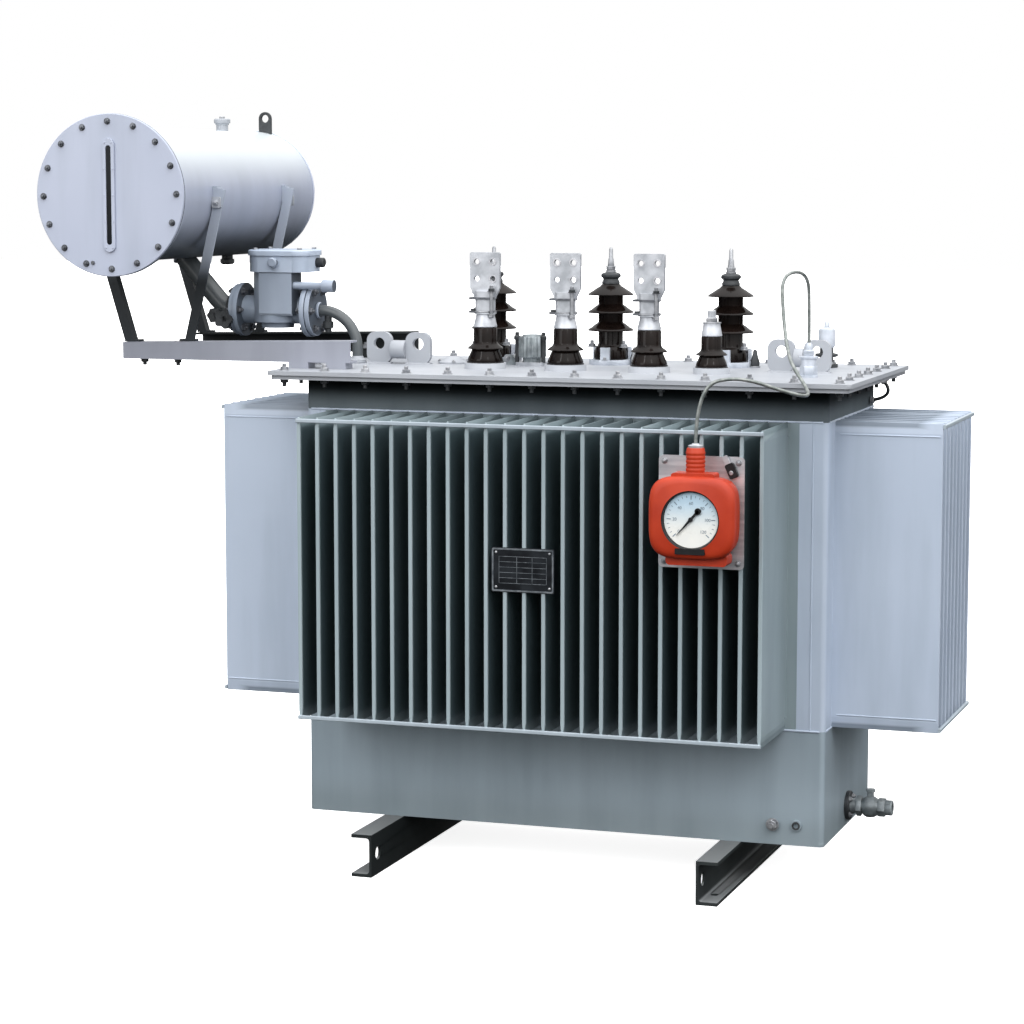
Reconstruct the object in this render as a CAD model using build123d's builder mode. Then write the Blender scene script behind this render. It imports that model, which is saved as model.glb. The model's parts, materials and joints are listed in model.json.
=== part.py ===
from build123d import *
from math import atan2, cos, degrees, hypot, pi, radians, sin, sqrt, tan
import os

os.makedirs("parts", exist_ok=True)

# Skids: two channels, webs facing each other and flanges turned outwards.
skid_gauge = 820.0
skid_length = 926.0
skid_height = 100.0
skid_flange = 50.0
skid_web = 6.0
skid_flange_thick = 8.5
skid_root_radius = 8.0
anchor_pitch_y = 780.0
anchor_hole_radius = 9.0
tow_hole_radius = 15.0
tow_hole_from_end = 42.0

# Tank: a welded box; origin midway between the skids, on the ground.
tank_length = 1250.0
tank_width = 502.0
tank_wall = 4.0
tank_corner_radius = 12.0
floor_thick = 10.0
fins_bottom = 364.0
fins_top = 1061.0
collar_height = 72.3

# Cover plate and the rim flange it is bolted to.
rim_thick = 10.0
rim_setback = 7.0
cover_thick = 10.0
cover_overhang_x = 67.0
cover_overhang_y = 83.0
cover_corner_radius = 10.0

# Corrugated walls.
fin_pitch = 45.0
fin_thick = 9.0
fin_sheet = 1.5
fin_pinch = 24.0
fin_pinch_width = 3.0
front_fin_margin = 62.0
front_fin_depth = 233.0
front_pack_shift = -9.0
side_fin_margin = 45.0
side_fin_depth = 244.0
panel_margin = 24.0
rod_height = 9.0
rod_thick = 6.0
rod_round = 2.0
rod_drop = 3.0
rod_rise = 2.0

floor_top = skid_height + floor_thick
collar_top = fins_top + collar_height
cover_bottom = collar_top + rim_thick
cover_top = cover_bottom + cover_thick
cover_length = tank_length + 2 * cover_overhang_x
cover_width = tank_width + 2 * cover_overhang_y
rim_length = cover_length - 2 * rim_setback
rim_width = cover_width - 2 * rim_setback
fins_height = fins_top - fins_bottom
front_face = tank_width / 2 + front_fin_depth
side_face = tank_length / 2 + side_fin_depth
front_fin_count = int((tank_length - 2 * front_fin_margin) / fin_pitch)
side_fin_count = int((tank_width - 2 * side_fin_margin) / fin_pitch)

# Core and windings inside the tank, standing on its floor.
winding_end_clearance = 38.0
winding_gap = 19.0
winding_build = 50.0
winding_height = 450.0
winding_headroom = 30.0
winding_count = 3
limb_clearance = 3.6
core_yoke = 190.0

winding_room = tank_length - 2 * tank_wall - 2 * winding_end_clearance
winding_radius = (winding_room - (winding_count - 1) * winding_gap) / winding_count / 2
winding_pitch = 2 * winding_radius + winding_gap
winding_bore = winding_radius - winding_build
core_limb = (winding_bore - limb_clearance) * sqrt(2)
core_window = winding_height + winding_headroom

# Low-voltage bushings: three phases and a smaller neutral, in a row along the front.
lv_row_y = -90.0
lv_x = (-236.0, -38.0, 165.0)
neutral_x = 314.0
lv_pad_thick = 14.0
lv_pad_radius = 49.0
lv_foot_radius = 41.0
lv_neck_radius = 31.0
lv_shed_radius = 38.0
lv_body_radius = 28.0
lv_neck_z = 36.0
lv_shed_z = 44.0
lv_body_height = 84.0
lv_cap_radius = 26.0
lv_cap_height = 34.0
lv_stud_radius = 11.0
lv_clamp_size = (60.0, 40.0, 36.0)
lv_clamp_z = 14.0
lv_palm_size = (74.0, 10.0, 109.0)
lv_palm_hole_radius = 6.5
lv_palm_pitch = 40.0
lv_palm_hole_rise = 67.0
neutral_scale = 0.86
neutral_stud_radius = 10.0
neutral_stud_height = 30.0

# High-voltage bushings: three shedded insulators in a row along the back.
hv_row_y = 150.0
hv_pitch = 297.0
hv_flange_radius = 52.0
hv_flange_thick = 12.0
hv_foot_radius = 40.0
hv_foot_height = 34.0
hv_body_radius = 30.0
hv_body_height = 180.0
hv_shed_radius = 55.0
hv_shed_first = 72.0
hv_shed_pitch = 43.0
hv_shed_edge = 5.0
hv_shed_slope = 14.0
hv_shed_count = 3
hv_cap_radius = 24.0
hv_cap_height = 30.0
hv_stud_radius = 7.0
hv_stud_tip_radius = 5.0
hv_stud_height = 58.0
hv_finger_width = 22.0
hv_finger_height = 30.0
hv_finger_thick = 10.0
hv_finger_count = 3
insulator_gap = 0.5

# Conservator: a drum across the left end, with a bolted cover in front.
drum_reach = 406.0
drum_rise = 406.7
drum_x = -tank_length / 2 - drum_reach
drum_z = cover_top + drum_rise
drum_radius = 156.0
drum_wall = 3.0
drum_front = -434.0
drum_back = 400.0
drum_flange_radius = 188.0
drum_flange_thick = 8.0
drum_cover_thick = 8.0
dish_steps = ((1.0, 0.0), (0.96, 0.45), (0.74, 0.82), (0.4, 1.0))
dish_depth = 44.0
gauge_height = 262.0
gauge_width = 30.0
gauge_thick = 5.0
gauge_slot_height = 229.0
gauge_slot_width = 13.0
gauge_glass_thick = 3.0
filler_y = 183.0
filler_radius = 15.0
filler_cap_radius = 20.0
filler_height = 18.0
filler_cap_height = 12.0
hook_y = 385.0
hook_offset = 30.0
hook_height = 50.0
hook_width = 34.0
hook_thick = 8.0
hook_hole_radius = 10.0
hook_corner = 5.0
hook_sink = 10.0
sump_y = 205.0
sump_radius = 14.0
sump_plug_radius = 17.0
sump_height = 10.0
sump_plug_height = 14.0

# Bracket beams from the cover to the conservator, deeper at the cover.
beam_reach_left = 81.0
beam_reach_right = 102.0
beam_left = drum_x - beam_reach_left
beam_right = beam_reach_right - tank_length / 2
beam_web_y = 230.0
beam_pad_thick = 14.0
beam_tip_height = 39.7
beam_root_height = 52.7
beam_bottom = cover_top + beam_pad_thick
beam_top_left = beam_bottom + beam_tip_height
beam_top_right = beam_bottom + beam_root_height
beam_web = 5.0
beam_flange = 45.0
beam_pad_from_end = (30.0, -65.0)
beam_pad_size = (50.0, 45.0)

# Angle legs from the beams up to the sides of the drum.
leg_y = 207.0
leg_spread_left = 69.0
leg_spread_right = 91.0
leg_foot_left = drum_x - leg_spread_left
leg_foot_right = drum_x + leg_spread_right
leg_width = 24.0
leg_thick = 4.0
leg_seat_gap = 6.0
leg_foot_thick = 5.0
leg_foot_length = 40.0
leg_foot_inset = 8.0
leg_top_rise = 14.0
tab_thick = 6.0
tab_height = 40.0

# Gas relay and its pipework between the beams.
relay_rise = 125.7
relay_reach = 226.0
relay_x = drum_x + relay_reach
relay_z = cover_top + relay_rise
relay_half_length = 94.0
relay_flange_radius = 65.0
relay_flange_thick = 12.0
relay_neck_radius = 34.0
relay_body_radius = 58.0
relay_body_rise = 93.0
relay_body_drop = 29.0
relay_body_top = relay_z + relay_body_rise
relay_body_bottom = relay_z - relay_body_drop
relay_bowl_radius = 40.0
relay_bowl_depth = 14.0
relay_bowl_bottom = relay_body_bottom - relay_bowl_depth
relay_flap_size = (86.0, 8.0, 98.0)
relay_flap_drop = 2.0
relay_flap_top = relay_body_top - relay_flap_drop
relay_head_offset = 20.0
relay_head_x = relay_x + relay_head_offset
relay_head_size = (160.0, 136.0, 54.0)
relay_head_round = 35.0
relay_head_lid = 14.0
relay_head_step = 4.0
relay_head_edge = 3.0
petcock_radius = 9.0
petcock_y = -45.0
petcock_rise = 61.0
petcock_reach = 138.0
petcock_z = relay_z + petcock_rise
petcock_end = relay_x + petcock_reach
petcock_root = 25.0
petcock_knob_radius = 15.0
petcock_knob_length = 30.0
mate_flange_radius = 62.0
mate_flange_thick = 12.0
tail_pipe_radius = 13.0
pipe_sides = 16
tail_pipe_reach = 209.0
tail_pipe_x = relay_x + tail_pipe_reach
tail_pipe_bend = 92.0
tail_foot_radius = 20.0
tail_foot_thick = 12.0
valve_thick = 16.0
valve_radius = 40.0
valve_drop = 22.0
valve_stem_radius = 9.0
valve_stem_length = 66.0
valve_wheel_radius = 25.0
valve_wheel_thick = 14.0
feed_pipe_radius = 23.5
feed_top_offset = 42.0
feed_top_drop = 135.0
feed_bend_reach = 137.0
feed_top = (drum_x - feed_top_offset, drum_z - feed_top_drop)
feed_bend_x = relay_x - feed_bend_reach
feed_bend = 30.0

# Lifting brackets on the cover: two ears and a cross tube.
bracket_y = 10.0
bracket_left_inset = (84.0, 184.0)
bracket_right_inset = (170.0, 85.0)
bracket_left_x = [inset - tank_length / 2 for inset in bracket_left_inset]
bracket_right_x = [tank_length / 2 - inset for inset in bracket_right_inset]
ear_width = 64.0
ear_height = 76.0
ear_thick = 14.0
ear_hole_radius = 14.0
ear_hole_drop = 28.0
cross_tube_radius = 22.0
cross_tube_z = 34.0

# Small fittings on the cover.
changer_x = -163.0
changer_y = 40.0
changer_plate = 64.0
changer_plate_thick = 12.0
changer_neck_radius = 22.0
changer_neck = 10.0
changer_radius = 35.0
changer_height = 52.0
dome_x = -370.0
dome_y = 60.0
dome_radius = 34.0
dome_crown = 16.0
dome_base = 5.0
dome_rise = 12.0
relief_inset = 106.0
relief_x = tank_length / 2 - relief_inset
relief_y = 200.0
relief_base_radius = 27.0
relief_base_thick = 9.0
relief_neck_radius = 16.0
relief_neck_height = 16.0
relief_ring_thick = 8.0
relief_body_radius = 19.0
relief_body_height = 44.0
relief_knob_radius = 7.0
relief_knob_height = 16.0
pocket_inset = 74.0
pocket_x = tank_length / 2 - pocket_inset
pocket_y = -130.0
pocket_base_radius = 19.0
pocket_base_height = 26.0
pocket_collar_radius = 16.0
pocket_collar_height = 20.0
pocket_gland_radius = 10.0
pocket_gland_height = 32.0

# Dial thermometer on the tips of the front fins, with its capillary.
capillary_radius = 4.0
capillary_sides = 8
capillary_share = 0.45
thermo_drop = 185.0
thermo_inset = 227.0
thermo_x = tank_length / 2 - thermo_inset
thermo_z = fins_top - thermo_drop
thermo_plate_size = (192.0, 3.0, 246.0)
thermo_plate_round = 10.0
thermo_plate_rise = 4.0
thermo_plate_z = thermo_z + thermo_plate_rise
thermo_width = 202.0
thermo_height = 182.0
thermo_depth = 80.0
thermo_round = 46.0
thermo_edge = 10.0
thermo_standoff = 10.0
thermo_standoff_radius = 20.0
thermo_bezel_radius = 72.0
thermo_bezel_width = 8.0
thermo_bezel_depth = 5.0
thermo_dial_radius = 63.0
thermo_dial_thick = 3.0
thermo_gland_radius = 21.0
thermo_gland_height = 52.0
thermo_gland_tip_radius = 10.0
thermo_gland_tip = 16.0

# Rating plate, drain valve and earth terminals.
plate_x = -11.0
plate_rise = 370.0
plate_z = fins_bottom + plate_rise
plate_size = (147.0, 2.0, 100.0)
plate_round = 4.0
drain_rise = 36.0
drain_z = floor_top + drain_rise
drain_flange_radius = 34.0
drain_flange_thick = 10.0
drain_pipe_radius = 17.0
drain_body_start = 34.0
drain_body_length = 42.0
drain_body_radius = 25.0
drain_plug_radius = 18.0
drain_length = 108.0
drain_bore = 10.0
drain_bore_depth = 20.0
earth_from_end = (116.0, 62.0)
earth_rise = 37.0
earth_x = [tank_length / 2 - inset for inset in earth_from_end]
earth_z = floor_top + earth_rise
earth_boss_radius = 12.0
earth_boss_thick = 6.0
earth_hole_radius = 5.0


def save(label, piece):
    piece.label = label
    export_step(piece, "parts/" + label + ".step")
    box = piece.bounding_box()
    print(label, "volume", round(piece.volume), "box", [round(v, 1) for v in (*box.min, *box.max)])


def box_shell(low, high, wall):
    with BuildPart() as shell:
        with BuildSketch(Plane.XY.offset(low)):
            RectangleRounded(tank_length, tank_width, tank_corner_radius)
            offset(amount=-wall, mode=Mode.SUBTRACT)
        extrude(amount=high - low)
    return shell.part


def skid(side):
    inner = skid_gauge / 2 - skid_flange / 2
    outer = inner + skid_flange
    with BuildPart() as rail:
        with BuildSketch(Plane.XZ):
            with BuildLine():
                Polyline(
                    (inner, 0),
                    (outer, 0),
                    (outer, skid_flange_thick),
                    (inner + skid_web, skid_flange_thick),
                    (inner + skid_web, skid_height - skid_flange_thick),
                    (outer, skid_height - skid_flange_thick),
                    (outer, skid_height),
                    (inner, skid_height),
                    close=True,
                )
            make_face()
            roots = [
                v
                for v in vertices()
                if abs(v.X - inner - skid_web) < skid_web / 2
            ]
            fillet(roots, radius=skid_root_radius)
        extrude(amount=skid_length / 2, both=True)
        with Locations(
            (skid_gauge / 2, anchor_pitch_y / 2, 0),
            (skid_gauge / 2, -anchor_pitch_y / 2, 0),
        ):
            Cylinder(
                anchor_hole_radius,
                skid_flange_thick,
                align=(Align.CENTER, Align.CENTER, Align.MIN),
                mode=Mode.SUBTRACT,
            )
        tow_y = skid_length / 2 - tow_hole_from_end
        with BuildSketch(Plane.YZ.offset(inner)):
            with Locations((tow_y, skid_height / 2), (-tow_y, skid_height / 2)):
                Circle(tow_hole_radius)
        extrude(amount=skid_web, mode=Mode.SUBTRACT)
    if side < 0:
        return mirror(rail.part, about=Plane.YZ)
    return rail.part


def fin_positions(count):
    first = -(count - 1) * fin_pitch / 2
    return [first + index * fin_pitch for index in range(count)]


def corrugated_wall(count, depth, width, shift):
    half = fin_thick / 2
    outer = [(-width / 2, 0)]
    inner = [(-width / 2, -fin_sheet)]
    for centre in fin_positions(count):
        x = centre + shift
        outer += [(x - half, 0), (x - half, depth), (x + half, depth), (x + half, 0)]
        slot = half - fin_sheet
        inner += [
            (x - slot, -fin_sheet),
            (x - slot, depth - fin_sheet),
            (x + slot, depth - fin_sheet),
            (x + slot, -fin_sheet),
        ]
    outer.append((width / 2, 0))
    inner.append((width / 2, -fin_sheet))
    outline = outer + inner[::-1]
    low = fins_bottom + fin_pinch
    high = fins_top - fin_pinch
    with BuildPart() as wall:
        with BuildSketch(Plane.XY.offset(low)):
            with BuildLine():
                Polyline(*outline, close=True)
            make_face()
        extrude(amount=high - low)
        with BuildSketch(Plane.XZ.offset(-depth)):
            for start, end in ((low, fins_bottom), (high, fins_top)):
                for centre in fin_positions(count):
                    x = centre + shift
                    Polygon(
                        (x - half, start),
                        (x + half, start),
                        (x + fin_pinch_width / 2, end),
                        (x - fin_pinch_width / 2, end),
                        align=None,
                    )
        extrude(amount=depth + fin_sheet)
        with BuildSketch(Plane.XZ):
            for start, end in ((low, fins_bottom), (high, fins_top)):
                with Locations((0, (start + end) / 2)):
                    Rectangle(width, fin_pinch)
        extrude(amount=fin_sheet)
    return wall.part


def panel_width(count):
    return (count - 1) * fin_pitch + fin_thick + 2 * panel_margin


def wall_at(part, angle, distance):
    return Rot(0, 0, angle) * Pos(0, distance, 0) * part


def fin_rods(count, tips):
    length = (count - 1) * fin_pitch + fin_thick
    low = fins_bottom + rod_rise + rod_height / 2
    high = fins_top - rod_drop - rod_height / 2
    with BuildPart() as rods:
        with Locations((0, tips + rod_thick / 2, low), (0, tips + rod_thick / 2, high)):
            Box(length, rod_thick, rod_height)
        far = [e for e in edges().filter_by(Axis.X) if e.center().Y > tips + rod_thick / 2]
        fillet(far, radius=rod_round)
    return rods.part


for side, label in ((-1, "skid_left"), (1, "skid_right")):
    save(label, skid(side))

with BuildPart() as tank_floor:
    with BuildSketch(Plane.XY.offset(skid_height)):
        RectangleRounded(tank_length, tank_width, tank_corner_radius)
    extrude(amount=floor_thick)
save("tank_floor", tank_floor.part)

with BuildPart() as tank_skirt:
    add(box_shell(floor_top, fins_bottom, tank_wall))
    with BuildSketch(Plane.XZ.offset(tank_width / 2)):
        with Locations([(x, earth_z) for x in earth_x]):
            Circle(earth_boss_radius)
    extrude(amount=earth_boss_thick)
    with BuildSketch(Plane.XZ.offset(tank_width / 2)):
        with Locations((earth_x[1], earth_z)):
            Circle(earth_hole_radius)
    extrude(amount=earth_boss_thick, mode=Mode.SUBTRACT)
save("tank_skirt", tank_skirt.part)

with BuildPart() as tank_collar:
    add(box_shell(fins_top, collar_top, tank_wall))
save("tank_collar", tank_collar.part)

front_panel = panel_width(front_fin_count)
side_panel = panel_width(side_fin_count)
with BuildPart() as tank_corners:
    add(box_shell(fins_bottom, fins_top, tank_wall))
    with Locations((front_pack_shift, 0, fins_bottom)):
        Box(
            front_panel,
            tank_width,
            fins_height,
            align=(Align.CENTER, Align.CENTER, Align.MIN),
            mode=Mode.SUBTRACT,
        )
    with Locations((0, 0, fins_bottom)):
        Box(
            tank_length,
            side_panel,
            fins_height,
            align=(Align.CENTER, Align.CENTER, Align.MIN),
            mode=Mode.SUBTRACT,
        )
save("tank_corners", tank_corners.part)

with BuildPart() as core:
    with BuildSketch(Plane.XZ):
        with Locations((0, floor_top)):
            Rectangle(
                (winding_count - 1) * winding_pitch + core_limb,
                core_window + 2 * core_yoke,
                align=(Align.CENTER, Align.MIN),
            )
        with Locations((0, floor_top + core_yoke + core_window / 2)):
            with GridLocations(winding_pitch, 0, winding_count - 1, 1):
                Rectangle(winding_pitch - core_limb, core_window, mode=Mode.SUBTRACT)
    extrude(amount=core_limb / 2, both=True)
save("core", core.part)

with BuildPart() as windings:
    with BuildSketch(Plane.XY.offset(floor_top + core_yoke)):
        with GridLocations(winding_pitch, 0, winding_count, 1):
            Circle(winding_radius)
            Circle(winding_bore, mode=Mode.SUBTRACT)
    extrude(amount=winding_height)
save("windings", windings.part)

front_wall = corrugated_wall(front_fin_count, front_fin_depth, front_panel, 0)
side_wall = corrugated_wall(side_fin_count, side_fin_depth, side_panel, 0)
shifted = Pos(front_pack_shift, 0, 0)
save("fin_wall_front", shifted * wall_at(front_wall, 180, tank_width / 2))
save("fin_wall_back", shifted * wall_at(front_wall, 0, tank_width / 2))
save("fin_wall_left", wall_at(side_wall, 90, tank_length / 2))
save("fin_wall_right", wall_at(side_wall, -90, tank_length / 2))
front_rods = fin_rods(front_fin_count, front_face)
side_rods = fin_rods(side_fin_count, side_face)
with BuildPart() as rods:
    add(shifted * front_rods)
    add(shifted * wall_at(front_rods, 180, 0))
    add(wall_at(side_rods, 90, 0))
    add(wall_at(side_rods, -90, 0))
save("fin_rods", rods.part)

with BuildPart() as tank_rim:
    with BuildSketch(Plane.XY.offset(collar_top)):
        RectangleRounded(rim_length, rim_width, cover_corner_radius)
        RectangleRounded(
            tank_length - 2 * tank_wall,
            tank_width - 2 * tank_wall,
            tank_corner_radius - tank_wall,
            mode=Mode.SUBTRACT,
        )
    extrude(amount=rim_thick)
save("tank_rim", tank_rim.part)

with BuildPart() as cover_plate:
    with BuildSketch(Plane.XY.offset(cover_bottom)):
        RectangleRounded(cover_length, cover_width, cover_corner_radius)
    extrude(amount=cover_thick)
    with BuildSketch(Plane.XY.offset(cover_top)):
        with Locations([(x, lv_row_y) for x in lv_x]):
            Circle(lv_pad_radius)
        with Locations((neutral_x, lv_row_y)):
            Circle(lv_pad_radius * neutral_scale)
    extrude(amount=lv_pad_thick)
save("cover_plate", cover_plate.part)


def turned(points, x, y):
    with BuildPart() as body:
        with BuildSketch(Plane.XZ):
            with BuildLine():
                Polyline(*points, close=True)
            make_face()
        revolve(axis=Axis.Z)
    return Pos(x, y, 0) * body.part


def lv_insulator(x, scale):
    low = cover_top + lv_pad_thick
    return turned(
        [
            (0, low),
            (lv_foot_radius * scale, low),
            (lv_neck_radius * scale, low + lv_neck_z * scale),
            (lv_shed_radius * scale, low + lv_neck_z * scale),
            (lv_shed_radius * scale, low + lv_shed_z * scale),
            (lv_body_radius * scale, low + lv_shed_z * scale),
            (lv_body_radius * scale, low + lv_body_height * scale),
            (0, low + lv_body_height * scale),
        ],
        x,
        lv_row_y,
    )


def lv_terminal(x):
    low = cover_top + lv_pad_thick + lv_body_height
    clamp_low = low + lv_cap_height + lv_clamp_z
    palm_low = clamp_low + lv_clamp_size[2] / 2
    palm_top = palm_low + lv_palm_size[2]
    hole_z = palm_low + lv_palm_hole_rise
    with BuildPart() as terminal:
        with Locations((x, lv_row_y, low)):
            Cylinder(lv_cap_radius, lv_cap_height, align=(Align.CENTER, Align.CENTER, Align.MIN))
        with Locations((x, lv_row_y, low + lv_cap_height)):
            Cylinder(lv_stud_radius, lv_clamp_z, align=(Align.CENTER, Align.CENTER, Align.MIN))
        with Locations((x, lv_row_y, clamp_low)):
            Box(*lv_clamp_size, align=(Align.CENTER, Align.CENTER, Align.MIN))
        with Locations((x, lv_row_y, palm_low)):
            Box(*lv_palm_size, align=(Align.CENTER, Align.CENTER, Align.MIN))
        with BuildSketch(Plane.XZ.offset(-lv_row_y + lv_palm_size[1] / 2)):
            with Locations((x, hole_z)):
                with GridLocations(lv_palm_pitch, lv_palm_pitch, 2, 2):
                    Circle(lv_palm_hole_radius)
        extrude(amount=-lv_palm_size[1], mode=Mode.SUBTRACT)
    print("palm holes centre", x, lv_row_y, hole_z, "palm top", palm_top)
    return terminal.part


neutral_low = cover_top + lv_pad_thick + lv_body_height * neutral_scale
neutral_cap = neutral_low + lv_cap_height * neutral_scale
neutral_terminal = turned(
    [
        (0, neutral_low),
        (lv_cap_radius * neutral_scale, neutral_low),
        (lv_cap_radius * neutral_scale, neutral_cap),
        (neutral_stud_radius, neutral_cap),
        (neutral_stud_radius, neutral_cap + neutral_stud_height),
        (0, neutral_cap + neutral_stud_height),
    ],
    neutral_x,
    lv_row_y,
)

with BuildPart() as lv_insulators:
    for x in lv_x:
        add(lv_insulator(x, 1.0))
    add(lv_insulator(neutral_x, neutral_scale))
save("lv_insulators", lv_insulators.part)

with BuildPart() as lv_terminals:
    for x in lv_x:
        add(lv_terminal(x))
    add(neutral_terminal)
save("lv_terminals", lv_terminals.part)


def hv_profile():
    low = cover_top + hv_flange_thick
    points = [
        (0, low),
        (hv_foot_radius, low),
        (hv_foot_radius, low + hv_foot_height),
        (hv_body_radius, low + hv_foot_height),
    ]
    for index in range(hv_shed_count):
        z = cover_top + hv_shed_first + index * hv_shed_pitch + hv_shed_slope
        points += [
            (hv_body_radius, z),
            (hv_shed_radius, z),
            (hv_shed_radius, z + hv_shed_edge),
            (hv_body_radius, z + hv_shed_edge + hv_shed_slope),
        ]
    top = cover_top + hv_flange_thick + hv_body_height
    points += [(hv_body_radius, top), (0, top)]
    return points


hv_top = cover_top + hv_flange_thick + hv_body_height
hv_places = [(index * hv_pitch, hv_row_y) for index in (-1, 0, 1)]
with BuildPart() as hv_insulators:
    for x, y in hv_places:
        add(turned(hv_profile(), x, y))
save("hv_insulators", hv_insulators.part)

with BuildPart() as hv_terminals:
    cap = hv_top + hv_cap_height
    for x, y in hv_places:
        add(
            turned(
                [
                    (0, hv_top),
                    (hv_cap_radius, hv_top),
                    (hv_cap_radius, cap),
                    (hv_stud_radius, cap),
                    (hv_stud_radius, cap + hv_stud_height / 2),
                    (hv_stud_tip_radius, cap + hv_stud_height / 2),
                    (hv_stud_tip_radius, cap + hv_stud_height),
                    (0, cap + hv_stud_height),
                ],
                x,
                y,
            )
        )
save("hv_terminals", hv_terminals.part)

with BuildPart() as hv_clamps:
    with BuildSketch(Plane.XY.offset(cover_top)):
        with Locations(hv_places):
            Circle(hv_flange_radius)
    extrude(amount=hv_flange_thick)
    reach = hv_foot_radius + insulator_gap
    for x, y in hv_places:
        with Locations((x, y)):
            with PolarLocations(reach + hv_finger_thick / 2, hv_finger_count, start_angle=-90):
                with Locations((0, 0, cover_top + hv_flange_thick)):
                    Box(
                        hv_finger_thick,
                        hv_finger_width,
                        hv_finger_height,
                        align=(Align.CENTER, Align.CENTER, Align.MIN),
                    )
save("hv_clamps", hv_clamps.part)

# Conservator drum and its fittings.
drum_plane = Plane(origin=(drum_x, 0, drum_z), x_dir=(1, 0, 0), z_dir=(0, -1, 0))
with BuildPart() as conservator_shell:
    with BuildSketch(drum_plane.offset(-drum_back)):
        Circle(drum_radius)
        Circle(drum_radius - drum_wall, mode=Mode.SUBTRACT)
    extrude(amount=drum_back - drum_front)
    with BuildSketch(drum_plane.offset(-drum_front)):
        Circle(drum_flange_radius)
        Circle(drum_radius - drum_wall, mode=Mode.SUBTRACT)
    extrude(amount=drum_flange_thick)
save("conservator_shell", conservator_shell.part)

cover_plane = drum_plane.offset(-drum_front + drum_flange_thick)
with BuildPart() as dished_end:
    with BuildSketch(Plane.XY):
        with BuildLine():
            Polyline(
                (0, drum_back),
                *[
                    (drum_radius * across, drum_back + dish_depth * out)
                    for across, out in dish_steps
                ],
                (0, drum_back + dish_depth),
                close=True,
            )
        make_face()
    revolve(axis=Axis.Y)

with BuildPart() as conservator_ends:
    with BuildSketch(cover_plane):
        Circle(drum_flange_radius)
    extrude(amount=drum_cover_thick)
    add(Pos(drum_x, 0, drum_z) * dished_end.part)
save("conservator_ends", conservator_ends.part)

gauge_plane = cover_plane.offset(drum_cover_thick)
with BuildPart() as level_gauge_frame:
    with BuildSketch(gauge_plane):
        SlotOverall(gauge_height, gauge_width, rotation=90)
        SlotOverall(gauge_slot_height, gauge_slot_width, rotation=90, mode=Mode.SUBTRACT)
    extrude(amount=gauge_thick)
save("level_gauge_frame", level_gauge_frame.part)

with BuildPart() as level_gauge_glass:
    with BuildSketch(gauge_plane):
        SlotOverall(
            gauge_slot_height - 2 * insulator_gap,
            gauge_slot_width - 2 * insulator_gap,
            rotation=90,
        )
    extrude(amount=gauge_glass_thick)
save("level_gauge_glass", level_gauge_glass.part)


def against_drum(part):
    with BuildPart() as cut:
        add(part)
        with Locations(drum_plane.offset(-drum_back).location):
            Cylinder(
                drum_radius,
                drum_back - drum_front,
                align=(Align.CENTER, Align.CENTER, Align.MIN),
                mode=Mode.SUBTRACT,
            )
    return cut.part


with BuildPart() as filler:
    with Locations((drum_x, filler_y, drum_z)):
        Cylinder(
            filler_radius,
            drum_radius + filler_height,
            align=(Align.CENTER, Align.CENTER, Align.MIN),
        )
    with Locations((drum_x, filler_y, drum_z + drum_radius + filler_height)):
        Cylinder(
            filler_cap_radius,
            filler_cap_height,
            align=(Align.CENTER, Align.CENTER, Align.MIN),
        )
hook_x = drum_x + hook_offset
with BuildPart() as hook:
    with BuildSketch(Plane.XZ.offset(-hook_y)):
        with Locations((hook_x, drum_z + drum_radius - hook_sink)):
            Rectangle(hook_width, hook_height + hook_sink, align=(Align.CENTER, Align.MIN))
        top_corners = vertices().group_by(Axis.Z)[-1]
        fillet(top_corners, radius=hook_width / 2 - hook_corner)
        with Locations((hook_x, drum_z + drum_radius + hook_height - hook_width / 2)):
            Circle(hook_hole_radius, mode=Mode.SUBTRACT)
    extrude(amount=hook_thick / 2, both=True)
with BuildPart() as sump:
    with Locations((drum_x, sump_y, drum_z)):
        Cylinder(
            sump_radius,
            drum_radius + sump_height,
            align=(Align.CENTER, Align.CENTER, Align.MAX),
        )
    with Locations((drum_x, sump_y, drum_z - drum_radius - sump_height)):
        Cylinder(
            sump_plug_radius,
            sump_plug_height,
            align=(Align.CENTER, Align.CENTER, Align.MAX),
        )
with BuildPart() as conservator_fittings:
    for fitting in (filler, hook, sump):
        add(against_drum(fitting.part))
save("conservator_fittings", conservator_fittings.part)


def beam(side):
    web = side * beam_web_y
    with BuildPart() as bar:
        with BuildSketch(Plane.XZ.offset(-web)):
            with BuildLine():
                Polyline(
                    (beam_left, beam_bottom),
                    (beam_right, beam_bottom),
                    (beam_right, beam_top_right),
                    (beam_left, beam_top_left),
                    close=True,
                )
            make_face()
        extrude(amount=side * beam_flange)
        with BuildSketch(Plane.XZ.offset(-web + side * beam_web)):
            with BuildLine():
                Polyline(
                    (beam_left, beam_bottom + beam_web),
                    (beam_right, beam_bottom + beam_web),
                    (beam_right, beam_top_right - beam_web),
                    (beam_left, beam_top_left - beam_web),
                    close=True,
                )
            make_face()
        extrude(amount=side * (beam_flange - beam_web), mode=Mode.SUBTRACT)
        with Locations(
            [
                (x, web - side * beam_flange / 2, cover_top)
                for x in (-tank_length / 2 - inset for inset in beam_pad_from_end)
            ]
        ):
            Box(
                *beam_pad_size,
                beam_bottom - cover_top,
                align=(Align.CENTER, Align.CENTER, Align.MIN),
            )
    return bar.part


save("beam_front", beam(-1))
save("beam_back", beam(1))


def beam_top_at(x):
    share = (x - beam_left) / (beam_right - beam_left)
    return beam_top_left + share * (beam_top_right - beam_top_left)


def angle_section(base, hand):
    with BuildSketch(base) as section:
        Rectangle(leg_width, leg_width)
        with Locations((leg_thick, -hand * leg_thick)):
            Rectangle(leg_width, leg_width, mode=Mode.SUBTRACT)
    return section.sketch


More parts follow.
